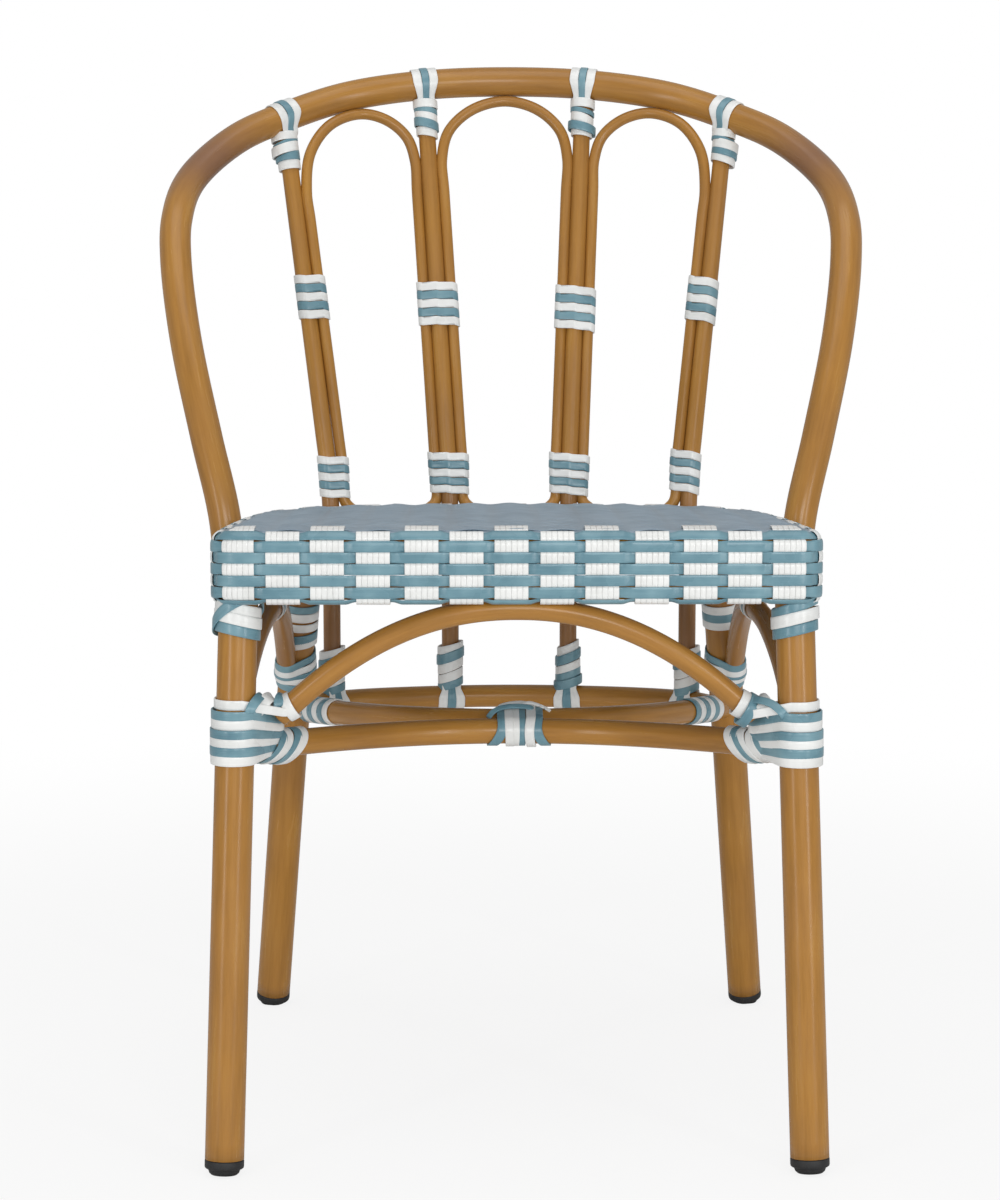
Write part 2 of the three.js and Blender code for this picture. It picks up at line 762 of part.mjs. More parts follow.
/** A rubber cap that plugs the leg's bore, with a rim under the tube and a domed tread cut flat. */
function footCap({ foot, axis }) {
  const plugRadius = legBore / 2 - clearance;
  const rimBottom = footCapHeight - footCapRim;
  const profile = [
    [0, -overrun],
    [footTreadRadius, -overrun],
    [footDomeRadius, rimBottom],
    [legTube / 2, rimBottom],
    [legTube / 2, footCapHeight],
    [plugRadius, footCapHeight],
    [plugRadius, footCapHeight + footPlugLength],
    [0, footCapHeight + footPlugLength],
  ].map(([radius, height]) => new THREE.Vector2(radius, height));
  const cap = new THREE.LatheGeometry(profile, legSides);
  cap.applyQuaternion(new THREE.Quaternion().setFromUnitVectors(at(0, 1, 0), axis));
  cap.translate(foot.x, foot.y, foot.z);
  const floor = new THREE.BoxGeometry(2 * legTube, 2 * legTube, legTube);
  floor.translate(foot.x, foot.y, -legTube / 2);
  return cut(cap, floor);
}

/** How much larger than a tube a cutter is that clears a strip wound round the tube. */
function overWinding({ diameter, sides }, steps) {
  const wound = (diameter / 2 + stripClearance) / Math.cos(Math.PI / steps) + stripThickness;
  return (wound + clearance) / Math.cos(Math.PI / sides) - diameter / 2;
}

const bowLashingPlace = (sign) => (
  crossing(frontBow, at(sign * frontBowLashingHalfSpan, 0, frontBowHeight), across)
);

/** A cylinder that clears the whole winding on one end of the front bow. */
function bowWindingCutter(sign) {
  const radius = frontBow.diameter / 2 + overWinding(frontBow, turnSteps);
  const length = bowLashingTurns * stripPitch + stripWidth + 2 * clearance;
  const place = bowLashingPlace(sign);
  const cutter = new THREE.CylinderGeometry(radius, radius, length, legSides);
  cutter.applyQuaternion(new THREE.Quaternion().setFromUnitVectors(at(0, 1, 0), direction(frontBow, place)));
  cutter.translate(place.x, place.y, place.z);
  return cutter;
}

const railCutter = roundSeat(railProfile(clearance));
const borderRodCutter = tubeSolid(borderRodRear, clearance);
for (const [side, sign] of Object.entries(sides)) {
  const front = frontLegs[side];
  const rear = rearLegs[side];
  add(`front_leg_${side}`, cut(tubeSolid(front, 0, legBore), railCutter), paint);
  add(`rear_leg_${side}`, cut(tubeSolid(rear, 0, legBore), railCutter, borderRodCutter), paint);
  add(`front_foot_${side}`, footCap(front), rubber);
  add(`rear_foot_${side}`, footCap(rear), rubber);
  const archCutters = [front, rear].map((leg) => tubeSolid(leg, overWinding(leg, legTurnSteps)));
  add(`side_arch_${side}`, cut(tubeSolid(sideArches[side]), ...archCutters), paint);

  const underApron = (leg) => legAt(
    leg,
    seatTop(leg.curve.v2.y) - apronHeight - (legTopTurns / 2 + 1 / 2) * stripPitch - clearance,
  );
  addLashing(
    `front_leg_top_lashing_${side}`,
    turnsRound([front], underApron(front), front.axis, legTopTurns, legTurnSteps),
    blueStrip,
  );
  addLashing(
    `rear_leg_top_lashing_${side}`,
    turnsRound([rear], legAt(rear, rearLegLashingHeight), rear.axis, lashingTurns, legTurnSteps),
    whiteStrip,
  );
  addLashing(
    `front_joint_lashing_${side}`,
    turnsRound([front], legAt(front, frontJointHeight), front.axis, frontJointTurns, legTurnSteps),
    whiteStrip,
  );
  const onFrontBow = bowLashingPlace(sign);
  addLashing(
    `front_bow_lashing_${side}`,
    turnsRound([frontBow], onFrontBow, direction(frontBow, onFrontBow), bowLashingTurns),
    blueStrip,
  );
  const rearBowAxis = direction(rearBow, legAt(rear, rearBowHeight));
  const rearBowReach = legTube / 2 + (bowLashingTurns - 1 / 2) * stripPitch;
  const onRearBow = crossing(
    rearBow,
    legAt(rear, rearBowHeight).addScaledVector(rearBowAxis, -sign * rearBowReach),
    rearBowAxis,
  );
  addLashing(
    `rear_bow_lashing_${side}`,
    turnsRound([rearBow], onRearBow, direction(rearBow, onRearBow), bowLashingTurns),
    whiteStrip,
  );
  addLashing(
    `rear_joint_lashing_${side}`,
    turnsRound([rear], legAt(rear, rearJointHeight), rear.axis, rearJointTurns, legTurnSteps),
    whiteStrip,
  );
  const onArchTop = at(sign * sideArchHalfSpan, sideArchMidDepth - archLashingSetoff, sideArchMidHeight);
  addLashing(
    `arch_top_lashing_${side}`,
    turnsRound([sideArches[side]], onArchTop, at(0, 1, 0), archTopTurns),
    whiteStrip,
  );
}

add('back_hoop', tubeSolid(hoop), paint);

const hoopCutter = tubeSolid(hoop, clearance);
const stretcherCutter = tubeSolid(rearStretcher, clearance);
posts.forEach((post, i) => {
  add(`back_post_${i + 1}`, cut(tubeSolid(post), hoopCutter, stretcherCutter), paint);
  const neighbours = [rods.left, rods.centre, rods.right].slice(Math.max(i - 1, 0), i + 1);
  const levels = { upper: upperLashingHeight, lower: lowerLashingHeight(post) };
  for (const [level, height] of Object.entries(levels)) {
    const centre = postAt(post, height);
    addLashing(
      `${level}_lashing_${i + 1}`,
      turnsRound([post, ...neighbours], centre, direction(post, centre), lashingTurns),
      i % 2 === 0 ? whiteStrip : blueStrip,
    );
  }
  addLashing(`hoop_lashing_${i + 1}`, turnsOnTee(hoop, post, post.line.at(-1), teeTurns), whiteStrip);
  addLashing(
    `post_foot_lashing_${i + 1}`,
    turnsOnTee(rearStretcher, post, post.line[0], teeTurns),
    whiteStrip,
  );
});

for (const [name, rod] of Object.entries(rods)) {
  add(`back_rod_${name}`, cut(tubeSolid(rod), railCutter), paint);
}

const rearLegCutters = [tubeSolid(rearLegs.left, clearance), tubeSolid(rearLegs.right, clearance)];
const frontWindingCutters = Object.values(frontLegs)
  .map((leg) => tubeSolid(leg, overWinding(leg, legTurnSteps)));
const frontLegCutters = [tubeSolid(frontLegs.left, clearance), tubeSolid(frontLegs.right, clearance)];
add('rear_stretcher', cut(tubeSolid(rearStretcher), ...rearLegCutters), paint);
add('front_bow_stretcher', cut(tubeSolid(frontBow), ...frontWindingCutters), paint);
add('rear_bow_stretcher', cut(tubeSolid(rearBow), ...rearLegCutters), paint);
add('front_arch', cut(
  tubeSolid(frontArch),
  tubeSolid(frontBow, clearance),
  bowWindingCutter(-1),
  bowWindingCutter(1),
  ...frontWindingCutters,
), paint);
addLashing('centre_lashing', turnsRound([frontBow, rearBow], frontBowMiddle, across, centreTurns), whiteStrip);

add('seat_rail', roundSeat(railProfile(0)), paint);
add('border_rod_front', cut(tubeSolid(borderRodFront), ...frontLegCutters), paint);
add('border_rod_rear', tubeSolid(borderRodRear), paint);
add('seat_cross_bar', cut(tubeSolid(crossBar), borderRodCutter), paint);

const rodCutters = Object.values(rods).map((rod) => tubeSolid(rod, clearance));
add('seat_border_weave', cut(
  roundSeat(borderProfile),
  ...frontLegCutters,
  ...rearLegCutters,
  ...rodCutters,
), blueStrip);
add('seat_top_weave', seatTopSolid(), greyWeave);

console.log(`least gap of a wound strip to itself: ${leastStripGap.toFixed(2)} mm`);

const box = new THREE.Box3().setFromObject(chair);
chair.position.y = -(box.min.y + box.max.y) / 2;

const part = new THREE.Group();
part.add(chair);
export default part;
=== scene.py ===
import math

import bpy
import numpy as np
from mathutils import Euler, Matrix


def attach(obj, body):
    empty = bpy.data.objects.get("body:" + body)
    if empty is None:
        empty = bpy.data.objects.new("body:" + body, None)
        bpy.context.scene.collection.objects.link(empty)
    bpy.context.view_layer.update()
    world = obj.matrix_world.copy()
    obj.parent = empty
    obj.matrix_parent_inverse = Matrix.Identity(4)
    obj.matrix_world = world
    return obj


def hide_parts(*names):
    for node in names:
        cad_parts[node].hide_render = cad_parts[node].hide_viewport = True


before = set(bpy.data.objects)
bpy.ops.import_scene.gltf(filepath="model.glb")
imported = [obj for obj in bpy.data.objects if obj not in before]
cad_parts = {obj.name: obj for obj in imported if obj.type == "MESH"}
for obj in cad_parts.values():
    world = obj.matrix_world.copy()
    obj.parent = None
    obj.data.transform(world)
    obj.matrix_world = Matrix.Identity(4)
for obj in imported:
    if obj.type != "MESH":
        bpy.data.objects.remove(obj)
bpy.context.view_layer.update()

MM = 0.001


# Studio: a white room with a pale floor, soft light from both sides and from above.
# The camera stands a little left of the chair's middle and looks 8 degrees down.

def colour(code):
    """A red, green, blue, alpha colour from its six digit code, made linear as screens do it."""
    parts = np.array([int(code[i:i + 2], 16) for i in (0, 2, 4)]) / 255
    parts = np.where(parts <= 0.04045, parts / 12.92, ((parts + 0.055) / 1.055) ** 2.4)
    return (*parts.tolist(), 1.0)


def fill(node, *numbered, **named):
    """Sets a node's inputs, by number or by name with underscores for spaces, to a value, an
    output, or another node's first output in use."""
    for key, value in [*enumerate(numbered), *named.items()]:
        socket = node.inputs[key if isinstance(key, int) else key.replace("_", " ")]
        if isinstance(value, bpy.types.Node):
            value = next(output for output in value.outputs if output.enabled)
        if isinstance(value, bpy.types.NodeSocket):
            node.id_data.links.new(value, socket)
        else:
            socket.default_value = value


def added(nodes, kind, operation=None, *numbered, **named):
    """A new shader node with its operation and its inputs set."""
    node = nodes.new(f"ShaderNode{kind}")
    if operation:
        node.operation = operation
    fill(node, *numbered, **named)
    return node


def finish_named(name):
    """A new material with its node list and its shader."""
    material = bpy.data.materials.new(name)
    material.use_nodes = True
    nodes = material.node_tree.nodes
    return material, nodes, nodes["Principled BSDF"]


def placed(name, data):
    """A new object in the scene that shows this data."""
    thing = bpy.data.objects.new(name, data)
    scene.collection.objects.link(thing)
    return thing


scene = bpy.context.scene
camera_data = bpy.data.cameras.new("camera")
camera_data.lens = 88.5
camera_data.sensor_fit = "VERTICAL"
camera_data.sensor_height = 36.0
camera = placed("camera", camera_data)
camera.location = (-0.033, -2.292, 0.694)
camera.rotation_euler = Euler((math.radians(90 - 7.95), 0, math.radians(-0.583)))
scene.camera = camera

floor_mesh = bpy.data.meshes.new("floor")
floor_mesh.from_pydata([(-12, -6, 0), (12, -6, 0), (12, 30, 0), (-12, 30, 0)], [], [(0, 1, 2, 3)])
floor = placed("floor", floor_mesh)

floor_finish, nodes, shader = finish_named("pale_floor")
fill(shader, Base_Color=colour("F4F4F4"), Roughness=0.8)
far = added(nodes, "VectorMath", "LENGTH", added(nodes, "TexCoord").outputs["Object"])
fade = added(nodes, "MapRange", From_Min=0.45, From_Max=1.5, To_Min=0.85, Value=far)
fade.interpolation_type = "SMOOTHSTEP"
ray = added(nodes, "LightPath")
seen = added(nodes, "Math", "MULTIPLY", ray.outputs["Is Camera Ray"], fade)
white = added(nodes, "Emission", Strength=1.0)
fill(nodes["Material Output"], Surface=added(nodes, "MixShader", None, seen, shader, white))
floor_mesh.materials.append(floor_finish)

world = bpy.data.worlds.new("room")
scene.world = world
world.use_nodes = True
nodes = world.node_tree.nodes
ray = added(nodes, "LightPath")
direct = added(nodes, "Math", "MAXIMUM", ray.outputs["Is Camera Ray"],
               ray.outputs["Is Transmission Ray"])
matt = added(nodes, "MapRange", To_Min=0.41, To_Max=0.5, Value=ray.outputs["Is Glossy Ray"])
level = added(nodes, "MapRange", To_Max=1.0, To_Min=matt, Value=direct)
fill(nodes["Background"], Color=(1, 1, 1, 1), Strength=level)

# Each lamp: its name, place, turn in degrees, width and height, and watts
for name, spot, turn, size, power in (
    ("light_left", (-2, -2.5, 0.8), (87, 0, -38), (0.24, 1.4), 13.5),
    ("light_right", (1.8, -2.4, 0.8), (87, 0, 37), (0.24, 1.4), 14.5),
    ("light_front", (0.4, -3.2, 1.2), (77, 0, 7), (1.2, 0.7), 22.5),
    ("light_above", (0, -0.4, 2.4), (0, 0, 0), (1.8, 1.4), 12),
):
    lamp = bpy.data.lights.new(name, "AREA")
    lamp.shape = "RECTANGLE"
    lamp.size, lamp.size_y = size
    lamp.energy = power
    holder = placed(name, lamp)
    holder.location = spot
    holder.rotation_euler = Euler([math.radians(v) for v in turn])

scene.view_settings.view_transform = "Standard"


# Painted frame tubes: round aluminium tube, bent, with a golden brown paint brushed on in
# long soft streaks so that it looks like rattan. Each tube ends inside the tube it is welded to.

def faces_of(rows, cols, ring_rows):
    """Quads between neighbours of a grid whose columns go round, and its rows too if they close."""
    i = np.arange(rows if ring_rows else rows - 1)[:, None]
    j = np.arange(cols)[None, :]
    k, m = (i + 1) % rows, (j + 1) % cols
    return np.stack([i * cols + j, i * cols + m, k * cols + m, k * cols + j], -1).reshape(-1, 4)


def skinned(name, grids, finish, covers, slot, ring_rows=False, **marks):
    """One mesh from like grids of points, each rows by columns, in millimetres. Open ends are
    closed by a flat face. A grid whose signed volume comes out negative is turned inside out.
    Marks are values at the points, kept as attributes that the finish reads."""
    grids = np.asarray(grids, float)
    count, rows, cols = grids.shape[:3]
    points = grids.reshape(count, -1, 3) * MM
    quads = faces_of(rows, cols, ring_rows)
    a, b, c, d = ((points - points.mean(axis=1, keepdims=True))[:, quads[:, n]] for n in range(4))
    volume = (a * np.cross(b, c)).sum(axis=(1, 2)) + (a * np.cross(c, d)).sum(axis=(1, 2))
    first = (np.arange(count) * rows * cols)[:, None, None]
    faces = quads[None] + first
    faces[volume < 0] = faces[volume < 0][..., ::-1]
    faces = faces.reshape(-1, 4).tolist()
    if not ring_rows:
        ends = np.stack([np.arange(cols)[::-1], np.arange(cols) + (rows - 1) * cols])[None] + first
        ends[volume < 0] = ends[volume < 0][..., ::-1]
        faces += ends.reshape(-1, cols).tolist()
    mesh = bpy.data.meshes.new(name)
    mesh.from_pydata(points.reshape(-1, 3).tolist(), [], faces)
    mesh.polygons.foreach_set("use_smooth", [len(face) == 4 for face in faces])
    for mark, values in marks.items():
        values = np.asarray(values, np.float32)
        kind = "FLOAT_VECTOR" if values.shape[-1] == 3 and values.ndim == 4 else "FLOAT"
        layer = mesh.attributes.new(mark, kind, "POINT")
        layer.data.foreach_set("vector" if kind == "FLOAT_VECTOR" else "value", values.ravel())
    mesh.materials.append(finish)
    mesh.update()
    piece = placed(name, mesh)
    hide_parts(*covers)
    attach(piece, "root")


def smooth_line(points, spacing=3.0):
    """A smooth curve through points: each span is a cubic, and its end slopes weigh the spans on
    both sides by the square root of their lengths. It is then cut into even steps."""
    p = np.asarray(points, float)
    p = np.vstack([2 * p[0] - p[1], p, 2 * p[-1] - p[-2]])
    d = np.diff(p, axis=0)
    t = np.sqrt(np.linalg.norm(d, axis=1))[:, None]
    d0, d1, d2, t0, t1, t2 = d[:-2], d[1:-1], d[2:], t[:-2], t[1:-1], t[2:]
    start_slope = (d0 / t0 - (d0 + d1) / (t0 + t1) + d1 / t1) * t1
    end_slope = (d1 / t1 - (d1 + d2) / (t1 + t2) + d2 / t2) * t1
    u = np.linspace(0, 1, 40, endpoint=False)[None, :, None]
    curve = (p[1:-2, None] * (2 * u ** 3 - 3 * u ** 2 + 1)
             + p[2:-1, None] * (3 * u ** 2 - 2 * u ** 3)
             + start_slope[:, None] * (u ** 3 - 2 * u ** 2 + u)
             + end_slope[:, None] * (u ** 3 - u ** 2))
    line = np.vstack([curve.reshape(-1, 3), p[-2]])
    return even(line, spacing)


def way_along(line):
    """The way from a line's start to each of its points."""
    return np.concatenate([[0], np.cumsum(np.linalg.norm(np.diff(line, axis=0), axis=1))])


def points_at(wanted, known, line):
    """Points of a line where something that is known at its points, and grows, has a value."""
    return np.stack([np.interp(wanted, known, row) for row in line.T], -1)


def even(line, spacing):
    """The same line with its points an even distance apart."""
    gone = way_along(line)
    wanted = np.linspace(0, gone[-1], max(2, int(round(gone[-1] / spacing)) + 1))
    return points_at(wanted, gone, line)


def unit(vectors):
    """The same directions with a length of one."""
    return vectors / np.linalg.norm(vectors, axis=-1, keepdims=True)


def round_tube(line, diameter, side, count=32):
    """A circle carried along a line: its middle follows the line, and its first direction is
    square to both the line and the side vector. Also the grain mark: distance along, and the
    point's place in the circle."""
    run = unit(np.gradient(line, axis=0))
    first = unit(np.cross(run, side))
    second = np.cross(run, first)
    turn = np.linspace(0, 2 * np.pi, count, endpoint=False)
    radius = diameter / 2
    ring = radius * np.stack([np.cos(turn), np.sin(turn)], -1)
    grid = line[:, None] + ring[None, :, :1] * first[:, None] + ring[None, :, 1:] * second[:, None]
    grain = np.concatenate([np.broadcast_to(way_along(line)[:, None, None], grid.shape[:2] + (1,)),
                            np.broadcast_to(ring[None], grid.shape[:2] + (2,))], -1)
    return grid, grain


def ramp(nodes, factor, *stops):
    """A colour ramp through places and colour codes, given from the lowest place to the highest."""
    node = added(nodes, "ValToRGB", Fac=factor)
    for end, (place, code) in zip(node.color_ramp.elements, (stops[0], stops[-1])):
        end.position, end.color = place, colour(code)
    for place, code in stops[1:-1]:
        node.color_ramp.elements.new(place).color = colour(code)
    return node


def mark_named(nodes, name):
    """A node that reads the mark of a name, which the meshes carry at their points."""
    node = added(nodes, "Attribute")
    node.attribute_name = name
    return node


def noise(nodes, place, scale, detail, roughness=0.5):
    """Noise at a place, which a texture or mapping node gives."""
    return added(nodes, "TexNoise", Vector=place, Scale=scale, Detail=detail, Roughness=roughness)


paint, nodes, shader = finish_named("golden_brown_paint")
stretch = added(nodes, "Mapping", Vector=mark_named(nodes, "grain").outputs["Vector"],
                Scale=(1 / 90, 1 / 7, 1 / 7))
streaks = noise(nodes, stretch, 1.0, 5.0, 0.6)
tone = ramp(nodes, streaks, (0.28, "9E6F2E"), (0.5, "AF7C37"), (0.72, "B9873F"))
spots = noise(nodes, added(nodes, "TexCoord").outputs["Object"], 14.0, 3.0)
spot_share = added(nodes, "MapRange", From_Min=0.35, From_Max=0.75, Value=spots)
# Random spots and the mark read here mix the paint towards mauve brown. At the hoop's bends that
# mark is the paint's own smudging; on the posts, the rear legs and the side arches it is painted
# shade under the seat.
cloud = added(nodes, "Math", "MULTIPLY_ADD", spot_share, 0.22,
              mark_named(nodes, "smudge").outputs["Fac"])
cloudy = added(nodes, "Mix")
cloudy.data_type = "RGBA"
fill(cloudy, Factor=cloud, A=tone, B=colour("84604A"))
gloss = added(nodes, "MapRange", To_Min=0.2, To_Max=0.32, Value=streaks)
brushed = added(nodes, "Bump", Strength=0.08, Distance=0.0006, Height=streaks)
fill(shader, Base_Color=cloudy, Specular_IOR_Level=0.36, Roughness=gloss, Normal=brushed)

TUBES = {}


def painted_tube(name, line, diameter, side, smudge=0.0):
    """A painted tube that stands for the CAD node of its name, kept for the joints round it."""
    grid, grain = round_tube(line, diameter, side)
    TUBES[name] = (line, diameter / 2)
    mark = np.broadcast_to(np.asarray(smudge, float).reshape(-1, 1), grid.shape[:2])[None]
    skinned(name, grid[None], paint, (name,), "painted_tube", grain=grain[None], smudge=mark)


# Legs: the thickest tubes, straight, from a black rubber foot up inside the woven border.
# The front pair leans a little inwards and back, the rear pair is splayed out and back.
LEG = 28.0
LEG_ENDS = {
    "front_leg": ((208.5, -270.0, 0.0), (196.1, -214.8, 444.5)),
    "rear_leg": ((203.5, 178.0, 0.0), (165.5, 75.5, 426.4)),
}
FOOT_CAP, CAP_GAP = 10.7, 0.3
SIDES = (("left", -1), ("right", 1))
BACKWARD = np.array([0.0, 1.0, 0.0])
# The rear legs are painted darker upwards, a painted shade under the seat: by this share, from this
# height, over this way
REAR_TOP_SHADE, REAR_SHADE_FROM, REAR_SHADE_OVER = 0.4, 300.0, 60.0

rubber, nodes, shader = finish_named("black_rubber")
pores = noise(nodes, added(nodes, "TexCoord").outputs["Object"], 900.0, 2.0)
shade = ramp(nodes, pores, (0.0, "0C0C0D"), (1.0, "2A2A2B"))
moulded = added(nodes, "Bump", Strength=0.25, Distance=0.0003, Height=pores)
fill(shader, Base_Color=shade, Roughness=0.55, Normal=moulded)


def foot_cap(foot, top):
    """A profile of radius and height turned round the leg's axis, its tread pressed level."""
    profile = np.array([(0, -0.2), (6, -0.2), (9.3, 0), (10.6, 1.2), (11.3, 2.9), (11.6, 4.4),
                        (13.2, 4.5), (13.8, 5), (14.05, 6), (14.05, 10), (13.8, 10.6),
                        (11.5, 10.7), (11.5, 14), (0, 14)])
    axis = unit(np.subtract(top, foot))
    first = unit(np.cross(axis, BACKWARD))
    second = np.cross(axis, first)
    turn = np.linspace(0, 2 * np.pi, 48, endpoint=False)
    spoke = np.cos(turn)[:, None] * first + np.sin(turn)[:, None] * second
    grid = foot + profile[:, 1, None, None] * axis + profile[:, 0, None, None] * spoke[None]
    grid[..., 2] = np.maximum(grid[..., 2], 0.0)
    return grid


for pair, (foot, top) in LEG_ENDS.items():
    for side, sign in SIDES:
        mirror = np.array([sign, 1, 1])
        low, high = np.array(foot) * mirror, np.array(top) * mirror
        axis = unit(high - low)
        line = even(np.array([low + axis * (FOOT_CAP + CAP_GAP), high]), 12)
        rise = np.clip((line[:, 2] - REAR_SHADE_FROM) / REAR_SHADE_OVER, 0, 1)
        top_shade = REAR_TOP_SHADE * rise if pair == "rear_leg" else 0.0
        painted_tube(f"{pair}_{side}", line, LEG, BACKWARD, smudge=top_shade)
        end = pair.replace("leg", "foot") + f"_{side}"
        skinned(end, foot_cap(low, high)[None], rubber, (end,), "rubber")


# Back hoop: one long tube, bent round from one side of the seat, over the back, to the other.
# Its paint has mauve brown smudges where it bends most, and its ends stand beside the seat.
HOOP = 25.0
HOOP_RIGHT = [
    (217.5, -27, 390.7), (223, -24, 444.5), (237.4, -6, 502.2), (255.9, 29.9, 576.9),
    (266.4, 68, 638), (267.7, 94, 669.3), (259.4, 139.1, 701.2), (226.2, 188.9, 734.4),
    (188.4, 222, 753.1), (136.9, 248.8, 770.8), (72.1, 263.9, 780.9),
]
MIRROR = np.array([-1, 1, 1])
hoop_points = np.array(HOOP_RIGHT + [(0.0, 271.0, 784.0)])
hoop_points = np.vstack([hoop_points, (hoop_points[:-1] * MIRROR)[::-1]])
hoop_line = smooth_line(hoop_points)
# Height of the bends, how far up and down their smudges reach, and how strong they are
BEND_AT, BEND_REACH, BEND_SHADE = 712.0, 22.0, 0.75
bends = np.exp(-((hoop_line[:, 2] - BEND_AT) / BEND_REACH) ** 2) * BEND_SHADE
painted_tube("back_hoop", hoop_line, HOOP, BACKWARD, smudge=bends)


# Back posts and thin rods: four posts stand on the rear stretcher behind the seat and lean out
# to the hoop, each a little differently. Three rods are bent over between them, pressed against
# the posts, and end behind the seat's rear edge.
POST, ROD = 14.4, 9.2
ROD_SPREAD = 1.019
# The posts are painted darker low down, a painted shade under the seat: by this share, from this
# height down, over this way
LOW_SHADE, SHADE_BELOW, SHADE_OVER = 0.55, 455.0, 30.0
# Each post stands upright to two heights at the seat's edge, then bends back to its lean
POST_FOOT = 265.0
POSTS = (
    ((-149, 157.3), (401.4, 423.4),
     [(-151.8, 161.8, 466.8), (-154.6, 166.2, 488.1), (-189.2, 221.4, 752.8)]),
    ((-50, 186), (399.6, 421.6), [(-51.4, 190.9, 465), (-52.8, 195.9, 486.4), (-72, 263.9, 781)]),
    ((50, 186), (399.6, 421.6), [(50.9, 191, 465), (51.8, 196, 486.4), (64.3, 265, 781.5)]),
    ((149, 157.3), (401.4, 423.4),
     [(151.3, 162, 466.8), (153.7, 166.7, 488.1), (183, 225.2, 755.2)]),
)
for i, (foot, knees, leaning) in enumerate(POSTS, 1):
    line = smooth_line([(*foot, height) for height in (POST_FOOT, *knees)] + leaning)
    shaded = LOW_SHADE * np.clip((SHADE_BELOW - line[:, 2]) / SHADE_OVER, 0, 1)
    painted_tube(f"back_post_{i}", line, POST, BACKWARD, smudge=shaded)

RODS = {"back_rod_left": [
    (-119.3, 156.2, 421.5), (-131.3, 157.6, 428.7), (-137.3, 158.4, 435.9),
    (-139.6, 162.1, 468.5), (-142.5, 166.8, 490.9), (-165.5, 203.3, 666.2),
    (-168.8, 208.6, 691.3), (-165.9, 218.5, 723.1), (-149.8, 232.3, 746.9),
    (-124.9, 246.4, 756.2), (-103.4, 251.1, 750.9), (-87.1, 252.1, 736.7),
    (-80.2, 249.2, 717.2), (-78.3, 242.5, 688.4), (-65.1, 196, 486.8), (-63.7, 191, 465),
    (-62.6, 187, 433.2), (-68.6, 180.1, 427), (-80.6, 166.4, 420.8),
], "back_rod_centre": [
    (-20, 171.3, 420.5), (-32, 181.9, 427.2), (-38, 187.1, 433.8), (-39.1, 191.2, 466.2),
    (-40.6, 196.3, 488.3), (-53.7, 242.9, 689.9), (-55.6, 249.5, 718.7), (-49.7, 255.6, 742.2),
    (-30.4, 261.4, 760.1), (-3, 265.5, 767.5), (23.9, 262, 760.5), (43.1, 256.4, 742.7),
    (49.3, 250.4, 719), (48.1, 243.6, 690.1), (39.6, 196.4, 488.1), (38.6, 191.2, 465.9),
    (37.9, 187.1, 433.7), (31.9, 181.9, 427.1), (19.9, 171.4, 420.5),
], "back_rod_right": [
    (80.5, 166.4, 420.8), (68.5, 180.2, 427.1), (62.5, 187.1, 433.3), (63.2, 191.1, 465.2),
    (64.1, 196.2, 487.1), (72.7, 243.4, 689.1), (73.9, 250.1, 718), (80.7, 253.1, 737.3),
    (97.4, 252.3, 751.6), (119.7, 247.9, 757.1), (144.3, 234.9, 748.4), (160.5, 221.6, 725.1),
    (163.9, 211.7, 693.5), (161.1, 206.2, 668.1), (141.6, 167.2, 490.6), (139.1, 162.3, 468.3),
    (137.2, 158.4, 435.8), (131.2, 157.7, 428.6), (119.2, 156.2, 421.5),
]}
for name, points in RODS.items():
    line = smooth_line(points, 2.0)
    middle_x = (line[:, 0].min() + line[:, 0].max()) / 2
    line[:, 0] = middle_x + (line[:, 0] - middle_x) * ROD_SPREAD
    painted_tube(name, line, ROD, BACKWARD)


# Stretchers and arches: thinner tubes that brace the legs. The front and rear bow bend towards
# each other and are tied in the middle, and the rear stretcher carries the back posts.
STRETCHER, ARCH = 19.0, 16.0
UPWARD = np.array([0.0, 0.0, 1.0])
ACROSS = np.array([1.0, 0.0, 0.0])


def bow(end, middle, power):
    """A bow from left to right: depth and height go from the middle's values to the end's with
    the share of the half span raised to a power."""
    share = np.linspace(-1, 1, 121)
    bend = (np.abs(share) ** power)[:, None]
    line = np.asarray(middle) * (1 - bend) + np.asarray(end) * bend
    line[:, 0] = share * end[0]
    return even(line, 3.0)


for name, end, middle in (("front_bow_stretcher", (200.2, -232.8, 300), (0, -105, 289)),
                          ("rear_bow_stretcher", (179.5, 113.3, 269), (0, -86.2, 293))):
    painted_tube(name, bow(end, middle, 2), STRETCHER, UPWARD)
rear_half = np.array([(179.9, 114.3, 265.0), (149.0, 157.3, 265.0), (50.0, 186.0, 265.0)])
painted_tube("rear_stretcher", smooth_line(np.vstack([rear_half, (rear_half * MIRROR)[::-1]])),
             STRETCHER, UPWARD, smudge=0.05)
# The front arch's feet end inside the joints' windings, this far from the middle
ARCH_FOOT_X = 171.0
FRONT_ARCH = bow((186.0, -216.3, 303.0), (0, -225.1, 399.0), 2.15)
FRONT_ARCH = FRONT_ARCH[np.abs(FRONT_ARCH[:, 0]) < ARCH_FOOT_X]
painted_tube("front_arch", FRONT_ARCH, ARCH, BACKWARD)
side_arch = np.array([
    (199.8, -231, 314), (194.2, -176, 351.6), (188.6, -121, 372.1), (183, -66, 377.8),
    (183, -8.1, 370.1), (183, 49.9, 342.6), (183, 107.8, 292),
])
# The side arches are painted a little darker and mauve brown all along, a painted shade under the
# seat.
for side, mirror in (("left", MIRROR), ("right", np.ones(3))):
    painted_tube(f"side_arch_{side}", smooth_line(side_arch * mirror), ARCH, ACROSS, smudge=0.35)


